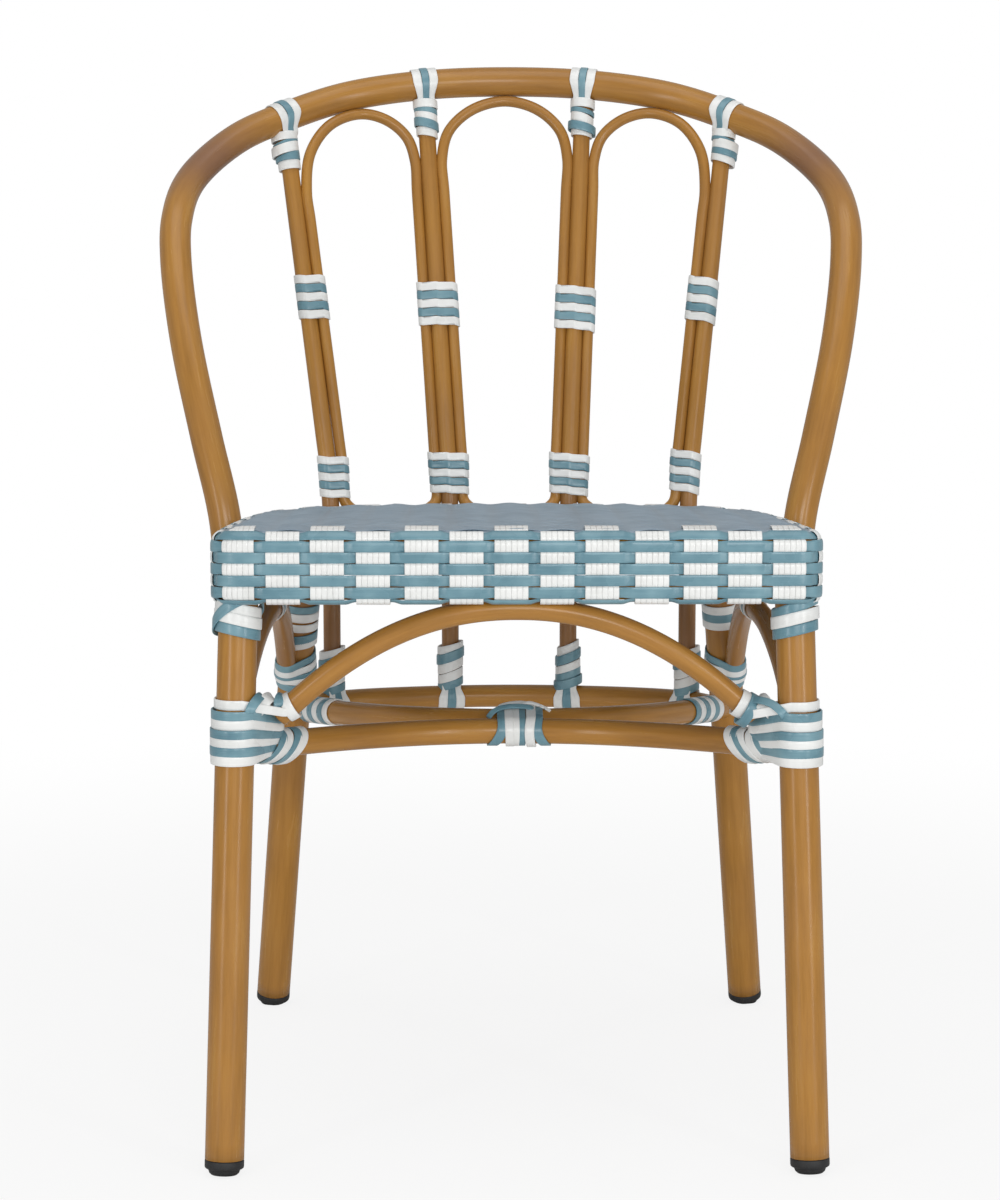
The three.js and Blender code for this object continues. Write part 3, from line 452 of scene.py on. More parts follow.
# Seat frame: a rail under the seat's top edge, thin rods inside the border's bottom edge, and a
# cross bar for the side arches. All of it is painted tube, seen only from below and in gaps.
SEAT_FRONT, SEAT_REAR, SEAT_HALF, SEAT_CORNER = -244.04, 179.96, 216.8, 22.0
SEAT_HEIGHT, SEAT_DROP = 458.0, 26.0
RAIL, CROSS_BAR, BORDER_ROD = 16.0, 14.0, 7.0
RAIL_INSET, ROD_INSET, APRON = 11.98, 7.11, 54.0
# The rear border rod starts this far round the rim from its front middle, behind the legs
ROD_FROM = 250.0


def outline_points():
    """The seat's outline, anticlockwise from the front middle: a straight front, a quarter circle
    at each front corner, and one cubic Bezier curve from each corner round to the rear middle."""
    corner = SEAT_HALF - SEAT_CORNER
    turn = np.linspace(-np.pi / 2, 0, 24)
    arc = np.stack([corner + SEAT_CORNER * np.cos(turn),
                    SEAT_FRONT + SEAT_CORNER * (1 + np.sin(turn))], -1)
    t = np.linspace(0, 1, 220)[:, None]
    pulls = np.array([(SEAT_HALF, SEAT_FRONT + SEAT_CORNER), (212.4, 124.9), (198.0, SEAT_REAR),
                      (0, SEAT_REAR)])
    bezier = ((1 - t) ** 3 * pulls[0] + 3 * (1 - t) ** 2 * t * pulls[1]
              + 3 * (1 - t) * t ** 2 * pulls[2] + t ** 3 * pulls[3])
    front = np.stack([np.linspace(0, corner, 60), np.full(60, SEAT_FRONT)], -1)
    right = np.vstack([front, arc[1:], bezier[1:]])
    return np.vstack([right, (right[1:-1] * (-1, 1))[::-1], right[:1]])


rim = outline_points()
RIM_GONE = way_along(rim)
RIM_LENGTH = RIM_GONE[-1]
rim_run = unit(np.roll(rim[:-1], -1, axis=0) - np.roll(rim[:-1], 1, axis=0))
RIM_INWARD = np.stack([-rim_run[:, 1], rim_run[:, 0]], -1)
RIM_INWARD = np.vstack([RIM_INWARD, RIM_INWARD[:1]])


def seat_top(y):
    """The seat's top plane falls evenly from the front to the rear."""
    return SEAT_HEIGHT - SEAT_DROP * (y - SEAT_FRONT) / (SEAT_REAR - SEAT_FRONT)


def on_seat(gone, inset, height):
    """The point a distance round the outline, so far in from it and so far above the top plane."""
    gone, inset, height = np.broadcast_arrays(gone % RIM_LENGTH, inset, height)
    x, y, nx, ny = (np.interp(gone, RIM_GONE, row)
                    for row in (rim[:, 0], rim[:, 1], RIM_INWARD[:, 0], RIM_INWARD[:, 1]))
    size = np.hypot(nx, ny)
    y = y + inset * ny / size
    return np.stack([x + inset * nx / size, y, seat_top(y) + height], -1)


rail_line = on_seat(np.linspace(0, RIM_LENGTH, 360, endpoint=False), RAIL_INSET, -RAIL_INSET)
rail_line = np.vstack([rail_line[-3:], rail_line, rail_line[:3]])
rail_grid, rail_grain = (part[None, 3:-3] for part in round_tube(rail_line, RAIL, UPWARD, 20))
skinned("seat_rail", rail_grid, paint, ("seat_rail",), "painted_tube", ring_rows=True,
        grain=rail_grain, smudge=np.zeros(rail_grid.shape[:3]))
behind_legs = np.linspace(ROD_FROM, RIM_LENGTH - ROD_FROM, 300)
painted_tube("border_rod_rear", on_seat(behind_legs, ROD_INSET, ROD_INSET - APRON),
             BORDER_ROD, UPWARD)
for name, (half, depth, height), diameter in (
    ("border_rod_front", (195.4, -236.9, 410.7), BORDER_ROD),
    ("seat_cross_bar", (206, -66, 393.1), CROSS_BAR),
):
    line = even(np.array([(-half, depth, height), (half, depth, height)]), 8)
    painted_tube(name, line, diameter, UPWARD)


# Woven border: seven flat blue strips run round the seat, and groups of six white cords cross
# them from the top edge to the bottom edge, over one strip and under the next. Both are stiff
# plastic, bent over the rail and under the border rods, and hold each other.
STRIP_WIDTH, STRIP_THICK = 7.8, 1.1
CORD_WIDTH, CORD_THICK, CORDS = 3.97, 1.1, 6
WEAVE_INSET, WEAVE_SWING = 1.6, 0.85
# The strips' places down the border's section, and the front columns' places round the rim
ROWS = np.array([8.2, 16.8, 24.6, 32.8, 40.9, 49.4, 58.2])
FRONT_AT = np.array([-196.3, -164.4, -133.3, -101.1, -67.1, -35.6, -4.1, 28.1, 59.6, 94.6, 128.5,
                     159.7, 191.2])
FRONT_PITCH, REST_COLUMNS, CORNER_STEP = 31.9, 35, 37.0
COLUMNS = np.concatenate([
    FRONT_AT, np.linspace(FRONT_AT[-1] + CORNER_STEP, RIM_LENGTH + FRONT_AT[0] - CORNER_STEP,
                          REST_COLUMNS)])


def section(down, out):
    """Inset and height of a point of the border: a distance down its section, which bends over
    the rail, drops straight and bends in under the border rod, and so far out from its middle."""
    bend_top = RAIL_INSET - WEAVE_INSET
    bend_low = ROD_INSET - WEAVE_INSET
    over, drop, under = bend_top * np.pi / 2, APRON - RAIL_INSET - ROD_INSET, bend_low * np.pi / 2
    top_turn = np.clip(down / bend_top, 0, np.pi / 2)
    low_turn = np.clip((down - over - drop) / bend_low, 0, np.pi / 2)
    top, low = down < over, down > over + drop
    inset = np.where(top, RAIL_INSET - (bend_top + out) * np.sin(top_turn) + np.maximum(-down, 0),
                     np.where(low, ROD_INSET - (bend_low + out) * np.cos(low_turn)
                              + np.maximum(down - over - drop - under, 0), WEAVE_INSET - out))
    height = np.where(top, -RAIL_INSET + (bend_top + out) * np.cos(top_turn),
                      np.where(low, ROD_INSET - APRON - (bend_low + out) * np.sin(low_turn),
                               -RAIL_INSET - (down - over)))
    return inset, height


def strip_profile(width, thick):
    """Across and lift values of a flat strip with rounded edges."""
    across = np.array([-1, -0.985, -0.9, -0.5, 0, 0.5, 0.9, 0.985, 1, 0.9, 0, -0.9]) * width / 2
    lift = np.array([0, 0.3, 0.47, 0.5, 0.5, 0.5, 0.47, 0.3, 0, -0.5, -0.5, -0.5]) * thick
    return across, lift


def strip_finish(name, main, pale, deep, dull=0.0):
    """Glossy plastic strip: its colour drifts a little along it, and fine ribs run lengthways.
    Dull is added to its roughness."""
    material, nodes, shader = finish_named(name)
    drawn = added(nodes, "Mapping", Vector=mark_named(nodes, "grain").outputs["Vector"],
                  Scale=(1 / 25, 1 / 0.5, 1 / 0.5))
    ribs = noise(nodes, drawn, 1.0, 3.0)
    drift = noise(nodes, added(nodes, "TexCoord").outputs["Object"], 45.0, 2.0)
    both = added(nodes, "Math", "MULTIPLY_ADD", ribs, 0.35, drift)
    tone = ramp(nodes, both, (0.4, deep), (0.66, main), (0.95, pale))
    gloss = added(nodes, "MapRange", To_Min=0.22 + dull, To_Max=0.34 + dull, Value=drift)
    rise = added(nodes, "Bump", Strength=0.2, Distance=0.0002, Height=ribs)
    fill(shader, Base_Color=tone, Roughness=gloss, Normal=rise)
    return material


blue = strip_finish("blue_strip", "6B929F", "80A5B0", "5A818F")
white_cord = strip_finish("white_strip", "EBECEA", "F3F4F2", "DFE0DD")


def laid(name, strips, finish, node, slot, across, lift, closed=False):
    """Strips that stand for a CAD node, each a grid of points along it and round its section.
    The grain mark of their fine ribs is the way along and the place in the section."""
    steps = np.linalg.norm(np.diff(strips.mean(axis=-2), axis=-2, prepend=0), axis=-1)
    gone = np.cumsum(steps, axis=-1)
    gone = gone - gone[..., :1]
    skinned(name, strips, finish, (node,), slot, ring_rows=closed,
            grain=np.stack(np.broadcast_arrays(gone[..., None], across, lift), -1))


# A strip changes sides between two columns, from this share of the way and over this share
CHANGE_FROM, CHANGE_OVER = 0.39, 0.22
shares = np.array([0, 0.1, 0.2, 0.3, 0.39, 0.42, 0.46, 0.5, 0.54, 0.58, 0.61, 0.7, 0.8, 0.9])
steps = np.diff(np.concatenate([COLUMNS, [COLUMNS[0] + RIM_LENGTH]]))
along = (COLUMNS[:, None] + steps[:, None] * shares).ravel()
change = np.clip((shares - CHANGE_FROM) / CHANGE_OVER, 0, 1)
change = 1 - 2 * change ** 2 * (3 - 2 * change)
column_sign = np.where(np.arange(len(COLUMNS)) % 2 == 0, 1.0, -1.0)
wave = (column_sign[:, None] * change).ravel()
across, lift = strip_profile(STRIP_WIDTH, STRIP_THICK)
row_sign = np.where(np.arange(len(ROWS)) % 2 == 0, 1.0, -1.0)
out = WEAVE_SWING * row_sign[:, None, None] * wave[None, :, None] + lift
down = np.broadcast_to(ROWS[:, None, None] + across, out.shape)
border = on_seat(along[None, :, None], *section(down, out))
laid("border_strips", border, blue, "seat_border_weave", "woven_blue", across, lift, closed=True)

# Cords: where rows would go on above and below, their bottom end, and how square their wave is
ROW_BEYOND, CORD_BOTTOM, SQUARED = 8.0, 64.0, 2.2
# Their top ends: reach and sink of those on the seat, lift over the rim, and the others' tuck
TOP_REACH, TOP_SINK, RIM_LIFT, TUCK_DEPTH, TUCK_AT, TUCK_OVER = 5.0, 3.6, 1.3, 2.6, 2.5, 4.0
# Each cord stands out a little differently, by at most this much
UNEVEN = 0.09
row_at = np.concatenate([[-1.0], np.arange(len(ROWS)), [len(ROWS)]])
row_down = np.concatenate([[ROWS[0] - ROW_BEYOND], ROWS, [ROWS[-1] + ROW_BEYOND]])
cord_at = (np.arange(CORDS) - (CORDS - 1) / 2) * CORD_WIDTH
cord_across = np.array([-1, -0.9, -0.4, 0.4, 0.9, 1, 0]) * CORD_WIDTH / 2
cord_lift = np.array([0.3, 0.46, 0.5, 0.5, 0.46, 0.3, -0.5]) * CORD_THICK


def border_cords(name, columns, signs, steps, lie):
    """White cords side by side down the section, out over every second strip and in behind the
    others. At the top, cords that pass under the first strip lie on the seat for a given way,
    and the others are tucked in at once."""
    down = np.linspace(-lie - TOP_REACH, CORD_BOTTOM, steps)
    wave = np.cos(np.pi * np.interp(down, row_down, row_at))
    swing = np.tanh(SQUARED * wave) / np.tanh(SQUARED)
    gone = (columns[:, None] + cord_at).reshape(-1, 1, 1) + cord_across
    uneven = UNEVEN * np.sin(12.9 * np.arange(len(gone)))[:, None, None]
    signs = np.repeat(signs, CORDS)[:, None, None]
    out = uneven - WEAVE_SWING * signs * swing[None, :, None] + cord_lift
    down = np.broadcast_to(down[None, :, None], out.shape)
    lying = (TOP_SINK * np.clip((-down - lie) / TOP_REACH, 0, 1)
             - RIM_LIFT * np.clip(-down / TUCK_OVER, 0, 1))
    tucked = TUCK_DEPTH * np.clip((TUCK_AT - down) / TUCK_OVER, 0, 1)
    tuck = np.where((signs > 0) & (lie > 0), lying, tucked)
    cords = on_seat(np.broadcast_to(gone, out.shape), *section(down, out - tuck))
    laid(name, cords, white_cord, "seat_border_weave", "white_strip", cord_across, cord_lift)


front_count = len(FRONT_AT)
border_cords("border_cords_front", COLUMNS[:front_count], column_sign[:front_count], 96, 16.0)
border_cords("border_cords_round", COLUMNS[front_count:], column_sign[front_count:], 58, 0.0)


# Seat top: plastic strip in a close plain weave, its strips from left to right over and
# under groups of cords from front to rear. It is crowned a little and pulled tight over the rail,
# and a last strip covers the ends along the rim. Its blue grey is partly the strip's own colour
# and partly painted sheen, as the top is seen at a glancing angle against a white room.
TOP_INSET, TOP_CROWN, TOP_CROWN_DEPTH = 10.5, 4.0, 212.0
TOP_SWING, TOP_BILLOW, TOP_SQUARED = 0.14, 0.6, 2
TOP_STRIP, TOP_PITCH, TOP_THICK = 7.3, 7.1, 0.7
EDGE_STRIP, EDGE_SHIFT, EDGE_SINK = 12.0, 0.8, 0.5
# How far strips and cords lie under the top plane, and how deep their ends dive
STRIP_SINK, CORD_SINK, END_DIVE = 1.4, 1.8, 2.2
# Part of the half width, and part of a cord's length, over which an end dives
STRIP_END, CORD_END = 0.035, 0.012
# The first strip's way behind the front edge, and the least way to the rear edge
WEFT_FIRST, WEFT_LAST = 3.2, 2
# Cords farther out than this would leave the outline
CORD_X_LAST, TOP_CORD_THICK = 203.0, 0.7
# Lighter and greyer than the border's blue: partly the strip's colour, partly painted sheen of the
# glancing view.
top_blue_and_sheen = strip_finish("blue_grey_and_sheen_strip", "8D9FAD", "9AABB8", "8194A2", dull=0.2)
inner = on_seat(np.linspace(0, RIM_LENGTH, 1200), TOP_INSET, 0.0)[:, :2]
seat_middle = (SEAT_FRONT + SEAT_REAR) / 2


def edge_at(part, known, values):
    """Where a part of the woven top's edge lies, for values of its x or y, known as 0 or 1."""
    part = part[np.argsort(part[:, known])]
    return np.interp(values, part[:, known], part[:, 1 - known])


def crown(x, y):
    """Rise above the seat's plane, highest in the middle and none at the edge."""
    reach = np.clip(np.hypot(x / SEAT_HALF, (y - seat_middle) / TOP_CROWN_DEPTH), 0, 1)
    return TOP_CROWN * (1 - reach ** 2)


def top_wave(phase):
    """The squared wave that strips and cords follow, one half period for each phase of one."""
    return TOP_SWING * np.tanh(TOP_SQUARED * np.cos(np.pi * phase)) / np.tanh(TOP_SQUARED)


def top_height(x, y, sink):
    """Height of the woven top, crowned and rising a little over each group of cords."""
    return (seat_top(y) - sink + crown(x, y)
            + TOP_BILLOW * np.cos(2 * np.pi * x / FRONT_PITCH))


weft = np.arange(SEAT_FRONT + TOP_INSET + WEFT_FIRST, SEAT_REAR - TOP_INSET - WEFT_LAST,
                 TOP_PITCH)
# Shares of the half width, closer together towards the ends, where the strip dives
close_up = np.pi / 2 * 0.97
t = np.sin(np.linspace(-1, 1, 121) * close_up) / np.sin(close_up)
across, lift = strip_profile(TOP_STRIP, TOP_THICK)
y = weft[:, None, None] + across
half = edge_at(inner[inner[:, 0] > 0], 1, weft)
x = np.broadcast_to(t[None, :, None] * half[:, None, None], (len(weft), len(t), len(across)))
sign = np.where(np.arange(len(weft)) % 2 == 0, 1.0, -1.0)[:, None, None]
fall = np.clip((np.abs(t) - (1 - STRIP_END)) / STRIP_END, 0, 1)[None, :, None] ** 2 * END_DIVE
z = top_height(x, y, STRIP_SINK) + sign * top_wave(x / FRONT_PITCH) + lift - fall
top_strips = np.stack(np.broadcast_arrays(x, y, z), -1)
laid("seat_top_strips", top_strips, top_blue_and_sheen, "seat_top_weave", "woven_grey", across, lift)

across, lift = strip_profile(EDGE_STRIP, TOP_THICK)
edge = on_seat(np.linspace(0, RIM_LENGTH, 480, endpoint=False)[:, None],
               *section(across - EDGE_SHIFT, lift - EDGE_SINK))
laid("seat_top_edge", edge[None], top_blue_and_sheen, "seat_top_weave", "woven_grey", across, lift,
     closed=True)

column_x = (np.arange(front_count) - (front_count - 1) / 2) * FRONT_PITCH
cord_x = (column_x[:, None] + cord_at).ravel()
cord_x = cord_x[np.abs(cord_x) < CORD_X_LAST]
in_rear = inner[:, 1] > seat_middle
front_y, rear_y = (edge_at(inner[part], 0, cord_x) for part in (~in_rear, in_rear))
share = np.linspace(0, 1, 171)
y = front_y[:, None] + (rear_y - front_y)[:, None] * share
turn = np.linspace(0, 2 * np.pi, 6, endpoint=False)
across, lift = np.cos(turn) * CORD_WIDTH / 2, np.sin(turn) * TOP_CORD_THICK / 2
x = cord_x[:, None, None] + across
y = y[:, :, None]
row = (y - weft[0]) / TOP_PITCH
sign = np.where(np.abs(np.round(cord_x / FRONT_PITCH)) % 2 == 0, 1.0, -1.0)[:, None, None]
near_end = np.clip((np.abs(share - 0.5) - (0.5 - CORD_END)) / CORD_END, 0, 1)
fall = near_end[None, :, None] ** 2 * END_DIVE
z = top_height(x, y, CORD_SINK) - sign * top_wave(row) + lift - fall
top_cords = np.stack(np.broadcast_arrays(x, y, z), -1)
laid("seat_top_cords", top_cords, top_blue_and_sheen, "seat_top_weave", "woven_grey", across, lift)


# Wound joints: white and blue plastic strip is wound tightly round each joint and tucked in at
# the back. Each band is a loop round all the tubes it binds, a little tilted as wound strip is.
BAND, BAND_THICK, BAND_PITCH, BAND_GAP = 7.0, 1.3, 7.45, 0.4
# A band stands this far off the tubes, and an open strip's ends dive this deep
STAND_OFF, STRAP_DIVE = 0.1, 1.6
# So much of each tube round a joint counts
NEAR = 75.0
TURN = np.arange(60) * np.pi / 30
SIDE, BACK = np.cos(TURN), np.sin(TURN)


def square_to(axis):
    """Two directions square to an axis and to each other, the second as far back as it can be.
    For an upright axis the first points right, and for one that runs right it points down."""
    way = BACKWARD if abs(axis[1]) < 0.9 else UPWARD
    second = unit(way - axis * (axis @ way))
    return np.cross(second, axis), second


def place_at(line, centre, axis, level):
    """Where a tube's line passes a level along the axis, using only the part near the centre."""
    near = line[np.linalg.norm(line - centre, axis=1) < NEAR]
    rise = (near - centre) @ axis
    order = np.argsort(rise)
    return points_at(level, rise[order], near[order])


def ribbon(place, out, width, closed=True):
    """A flat strip along places on the tubes, lying square to its outward directions. An open
    strip's ends dive under the surface, and the width may change along it."""
    ends = np.minimum(np.arange(len(place)), np.arange(len(place))[::-1])
    if closed:
        ahead, dive = np.roll(place, -1, axis=0) - np.roll(place, 1, axis=0), 0.0
    else:
        ahead, dive = np.gradient(place, axis=0), STRAP_DIVE * np.clip(1 - ends / 3.0, 0, 1) ** 2
    side = unit(np.cross(out, ahead))
    across, lift = strip_profile(1.0, BAND_THICK)
    rise = BAND_THICK / 2 + STAND_OFF + lift - np.broadcast_to(dive, len(place))[:, None]
    width = np.broadcast_to(width, len(place))
    return (place[:, None] + side[:, None] * (across[None, :] * width[:, None])[..., None]
            + out[:, None] * rise[..., None])


def ring(members, centre, axis, level, width, swell):
    """A closed band round a bundle: at each angle it touches the tube that reaches farthest that
    way, and stands off it by the swell. Level, width and swell may change with the angle."""
    u, v = square_to(axis)
    out = SIDE[:, None] * u + BACK[:, None] * v
    level = np.broadcast_to(level, len(TURN))
    places = np.stack([place_at(line, centre, axis, level) for line, _ in members])
    radii = np.array([radius for _, radius in members])[:, None]
    reach = np.einsum("mnk,nk->mn", places - centre, out) + radii
    best = reach.argmax(axis=0)
    off = np.take_along_axis(np.broadcast_to(radii, reach.shape), best[None], 0)[0] + swell
    return ribbon(places[best, np.arange(len(TURN))] + out * off[:, None], out, width)


def bound(node, bands, straps=()):
    """The white and the blue strips of one joint, closed bands and open straps, as pieces that
    together stand for the joint's CAD winding."""
    across, lift = strip_profile(BAND, BAND_THICK)
    for shade, finish, slot in (("white", white_cord, "white_strip"), ("blue", blue, "blue_strip")):
        for kind, strips, closed in (("", bands, True), ("_strap", straps, False)):
            grids = np.array([grid for tint, grid in strips if tint == shade[0].upper()])
            if len(grids):
                laid(f"{node}_{shade}{kind}", grids, finish, node, slot, across, lift, closed)


def banded(members, centre, axis, table):
    """Bands from a table. Each row has the level along the axis, width, white or blue, lean to
    the side and swell, which makes the band stand off."""
    return [(tint, ring(members, centre, axis, level + lean * SIDE, width, swell))
            for level, width, tint, lean, swell in table]


def rings(members, centre, axis, shades, pitch=BAND_PITCH, lean=0.0, width=BAND):
    """Bands side by side, centred on a point, in the given order of white and blue."""
    middle = (len(shades) - 1) / 2
    return banded(members, centre, axis, [
        ((i - middle) * pitch, width, tint, lean, 0.0) for i, tint in enumerate(shades)])


def point_at_height(line, height):
    """The point where a line passes a height."""
    line = line[np.argsort(line[:, 2])]
    return points_at(height, line[:, 2], line)


# For each post: the upper joint's height, and the lower joint's height above the seat
UPPER_AT, LOWER_RISE = (602.5, 596.0, 592.3, 600.0), (21.6, 24.0, 23.0, 25.6)
LOWER_PITCH, POST_LEAN, AXIS_REACH = 6.9, -1.8, 15.0
for i in range(len(POSTS)):
    post = TUBES[f"back_post_{i + 1}"]
    beside = [TUBES[rod] for rod in list(RODS)[max(i - 1, 0):i + 1]]
    seat_rear = seat_top(post[0][0, 1])
    for node, height, pitch in ((f"upper_lashing_{i + 1}", UPPER_AT[i], BAND_PITCH),
                                (f"lower_lashing_{i + 1}", seat_rear + LOWER_RISE[i], LOWER_PITCH)):
        below, centre, above = (point_at_height(post[0], height + way)
                                for way in (-AXIS_REACH, 0.0, AXIS_REACH))
        bound(node, rings([post, *beside], centre, unit(above - below), "WBWBW", pitch, POST_LEAN,
                          pitch - BAND_GAP))


# Joints of the posts with the hoop and with the rear stretcher: three bands of strip lie side by
# side over the tube that runs through and draw together, then more bands hold them to the post.

# A blue band stands this far above the white, and a band narrows by this share on the stem
BLUE_ABOVE, NARROWS = 0.6, 0.15


def belt(radii, reach, centre, across, ahead):
    """A belt round two wheels, the second so far ahead of the centre, in even steps: its places,
    outward directions and share of the way to the second wheel."""
    turn = np.linspace(0, 2 * np.pi, 721)
    out = np.stack([np.cos(turn), np.sin(turn)], -1)
    far = (radii[1] + reach * out[:, 1] > radii[0])[:, None]
    edge = out * np.where(far, radii[1], radii[0]) + np.where(far, reach, 0.0) * (0, 1)
    gone = way_along(edge)
    at = np.linspace(0, gone[-1], len(TURN), endpoint=False)
    flat = points_at(at, gone, edge)
    angle = np.interp(at, gone, turn)[:, None]
    place = centre + flat[:, :1] * across + flat[:, 1:] * ahead
    return place, np.cos(angle) * across + np.sin(angle) * ahead, np.clip(flat[:, 1] / reach, 0, 1)


def tube_way(line, point):
    """The direction of a tube's line next to a point."""
    nearest = np.linalg.norm(line - point, axis=1).argmin()
    return unit(line[min(nearest + 2, len(line) - 1)] - line[max(nearest - 2, 0)])


def over_the_tube(through, joint, stem_way, stem_radius, bands, gather, reach):
    """Bands over a tube that draw together on the stem: each is a belt round the tube and round
    the stem, in the plane square to the tube, and shifts along the tube as it nears the stem."""
    line, radius = through
    run = tube_way(line, joint)
    run = run * np.sign(run[0])
    down = unit(stem_way - run * (stem_way @ run))
    round_both, out, share = belt((radius, stem_radius), reach * (stem_way @ down), joint,
                                  np.cross(run, down), down)
    made = []
    for tint, offset, width in bands:
        shift = offset * (1 - gather * share) + share * reach * (stem_way @ run)
        place = round_both + shift[:, None] * run + (BLUE_ABOVE if tint == "B" else 0.0) * out
        made.append((tint, ribbon(place, out, width * (1 - NARROWS * share))))
    return made


# Bands on the posts below the hoop and above the rear stretcher, as tables
HOOP_STEMS = (
    ((17.4, 7, "W", 0.4, 2.6 + 1.8 * SIDE), (22.6, 3, "B", 2.6, 2.2 + 1.4 * SIDE),
     (28, 8.4, "W", 2.2, 3.0 + 2.3 * SIDE), (35.2, 6.0 - 2.2 * SIDE, "B", 1.4, 1.8 + 1.0 * SIDE),
     (41.8, 7.8, "W", 0.2, 0.8 + 0.4 * SIDE)),
    ((17.6, 7.4, "W", -0.6, 1.9), (22.9, 4.6, "B", -2, 1.3), (27.9, 6.8, "W", -2.8, 1),
     (34.9, 7.6, "B", -3, 1.8), (42, 7.4, "W", -1.8, 0.4)),
    ((17.6, 7.8, "W", -0.6, 1.9), (24.6, 4, "B", -2.2, 1.7), (31, 8.2, "W", -3.2, 1.2),
     (38.8, 7.4, "B", -2.6, 3.4), (43, 6, "W", -1, 0.6)),
    ((17.4, 7, "W", 0, 1.4), (22.6, 3, "B", -1.6, 1.5),
     (27.2, 7.8, "W", -2, 2.6 - 2.2 * SIDE), (33.8, 5.6, "B", -2, 2.4 - 2.0 * SIDE),
     (39.2, 6.6, "W", -2.4, 1.8 - 1.4 * SIDE)),
)
FOOT_STEMS = (
    ((11.5, 6.6, "B", 3.2, 2.2), (18.7, 7.8, "W", 3.7, 2), (27.4, 8, "W", 3.9, 2.2),
     (35.8, 8.4, "B", 3.9, 3.2), (42.6, 6.8, "W", 2.6, 2.4)),
    ((12.8, 7.6, "B", 3.2, 3.6), (19.8, 6.6, "B", 3.5, 2.2), (26.2, 7, "W", 3.7, 2),
     (34.6, 8, "B", 4.1, 2.4), (42, 7.6, "W", 3.7, 0.8)),
)
for i in range(len(POSTS)):
    post = TUBES[f"back_post_{i + 1}"]
    top, foot = post[0][-1], post[0][0]
    down_way = unit(post[0][-12] - post[0][-1])
    for node, through, joint, way, bands, gather, reach, stem in (
        (f"hoop_lashing_{i + 1}", "back_hoop", top, down_way,
         (("W", -7, 7.4), ("B", 0, 6.2), ("W", 7, 7.4)), 0.4, 11, HOOP_STEMS[i]),
        (f"post_foot_lashing_{i + 1}", "rear_stretcher", foot, UPWARD,
         (("W", -7.4, 7.6), ("B", 0, 7.2), ("W", 7.4, 7.6)), 0.35, 7, FOOT_STEMS[(i % 3) // 2]),
    ):
        wound = over_the_tube(TUBES[through], joint, way, post[1], bands, gather, reach)
        bound(node, wound + banded([post], joint, way, stem))


# Leg joints: strip is wound round each leg's top, and round leg and stretcher together as a belt
# runs round two wheels. More rings hold the stretchers, the arches' feet and the middle crossing.

def leg_belt(leg, stub, stub_radius, level, stub_level, swell, narrowing):
    """A belt in plan round a leg and a stub beside it, that falls from the leg's level to the
    stub's and grows narrower on the way."""
    centre = point_at_height(leg[0], level)
    way = np.append(stub[:2] - centre[:2], 0.0)
    place, out, share = belt((leg[1] + swell, stub_radius + 0.3 * swell), np.linalg.norm(way),
                             centre, unit(np.cross(way, UPWARD)), unit(way))
    place = place + (share * (stub_level - level))[:, None] * UPWARD
    return ribbon(place, out, BAND * (1 - narrowing * share))


def swept(top, middle, bottom):
    """A value round a level tube, from what it is at the top, at the front and back, and below."""
    return middle + (bottom - top) / 2 * SIDE + ((bottom + top) / 2 - middle) * SIDE ** 2


def off_by(line, sign, spot, way, flat=1):
    """The point on one side of a line that lies so far from a spot, in plan where flat is 0."""
    half = line[line[:, 0] * sign > 0]
    gap = np.linalg.norm((half - spot) * (1, 1, flat), axis=1)
    return half[np.abs(gap - way).argmin()]


def strap(points, out, width):
    """An open strip laid along a smooth line, its face turned as far as it can be one way."""
    line = smooth_line(points, 1.6)
    line = line[np.linspace(0, len(line) - 1, 24).round().astype(int)]
    run = unit(np.gradient(line, axis=0))
    out = np.broadcast_to(out, line.shape)
    return ribbon(line, unit(out - run * (out * run).sum(-1, keepdims=True)), width, closed=False)


# Heights of the joints on the front and rear legs, and the place of the right side arch's top
FRONT_TOP_AT, FRONT_JOINT_AT = 391.0, 312.0
REAR_TOP_AT, REAR_JOINT_AT, REAR_BOW_AT = 343.0, 303.0, 269.0
ARCH_TOP = (183.0, -66.0, 377.8)
# The front joints' belts hold the bow this far out from the leg, and the front arch's foot here
BOW_STUB, ARCH_FOOT = 35.0, (169.0, -218.0)
# The front arch's bands are centred here and tip this much, the second on the right only
ARCH_RING_X, ARCH_RING_TIP = 161.0, 0.45
ARCH_RINGS = ((-1, 7.6, "W", 0, 0.9), (5.4, 7.6, "B", 0, 3.4))
# The rear bow's rings are centred this far from the leg
REAR_RINGS_AT, REAR_PITCH, REAR_WIDTH = 62.0, 9.3, 8.8
# Bands on the tops of the front legs. The left one's last band is tipped two ways.
LEG_TOPS = {
    "left": ((-7.4, 7.6, "B", -3.2, 0.9), (0.6, 8.2, "W", -3.4, 1.7), (8.2, 7.4, "W", -3, 1.2),
             (4 + 9 * SIDE - 9 * BACK, 7.6, "B", 0, 2.8)),
    "right": ((-7.4, 7.6, "B", 3.2, 0.9), (1, 8.8, "W", 3.7, 2), (9, 7.8, "B", 5.4, 1.3)),
}
# Front joints: height at the leg and at the stub, the stub, its radius there, narrowing, swell
# and tint of each belt. On the right leg the belts sit a little lower, more so at the stub.
JOINT_BANDS = (
    (332.9, 325.5, "arch", 10.6, 0.12, 0.3, "W"), (325.4, 317.6, "bow", 9.2, 0.12, 2.2, "B"),
    (319, 311.8, "bow", 8.6, 0.12, 2, "W"), (312.2, 306, "bow", 7.4, 0.3, 2.6, "B"),
    (306, 301.8, "bow", 7, 0.3, 2.4, "W"), (300.1, 297.3, "bow", 6.2, 0.3, 2.4, "B"),
    (293.8, 295, "bow", 5.2, 0.3, 1.8, "W"),
)
LOWERED, STUB_LOWERED = {"left": 0.0, "right": 1.8}, 1.4
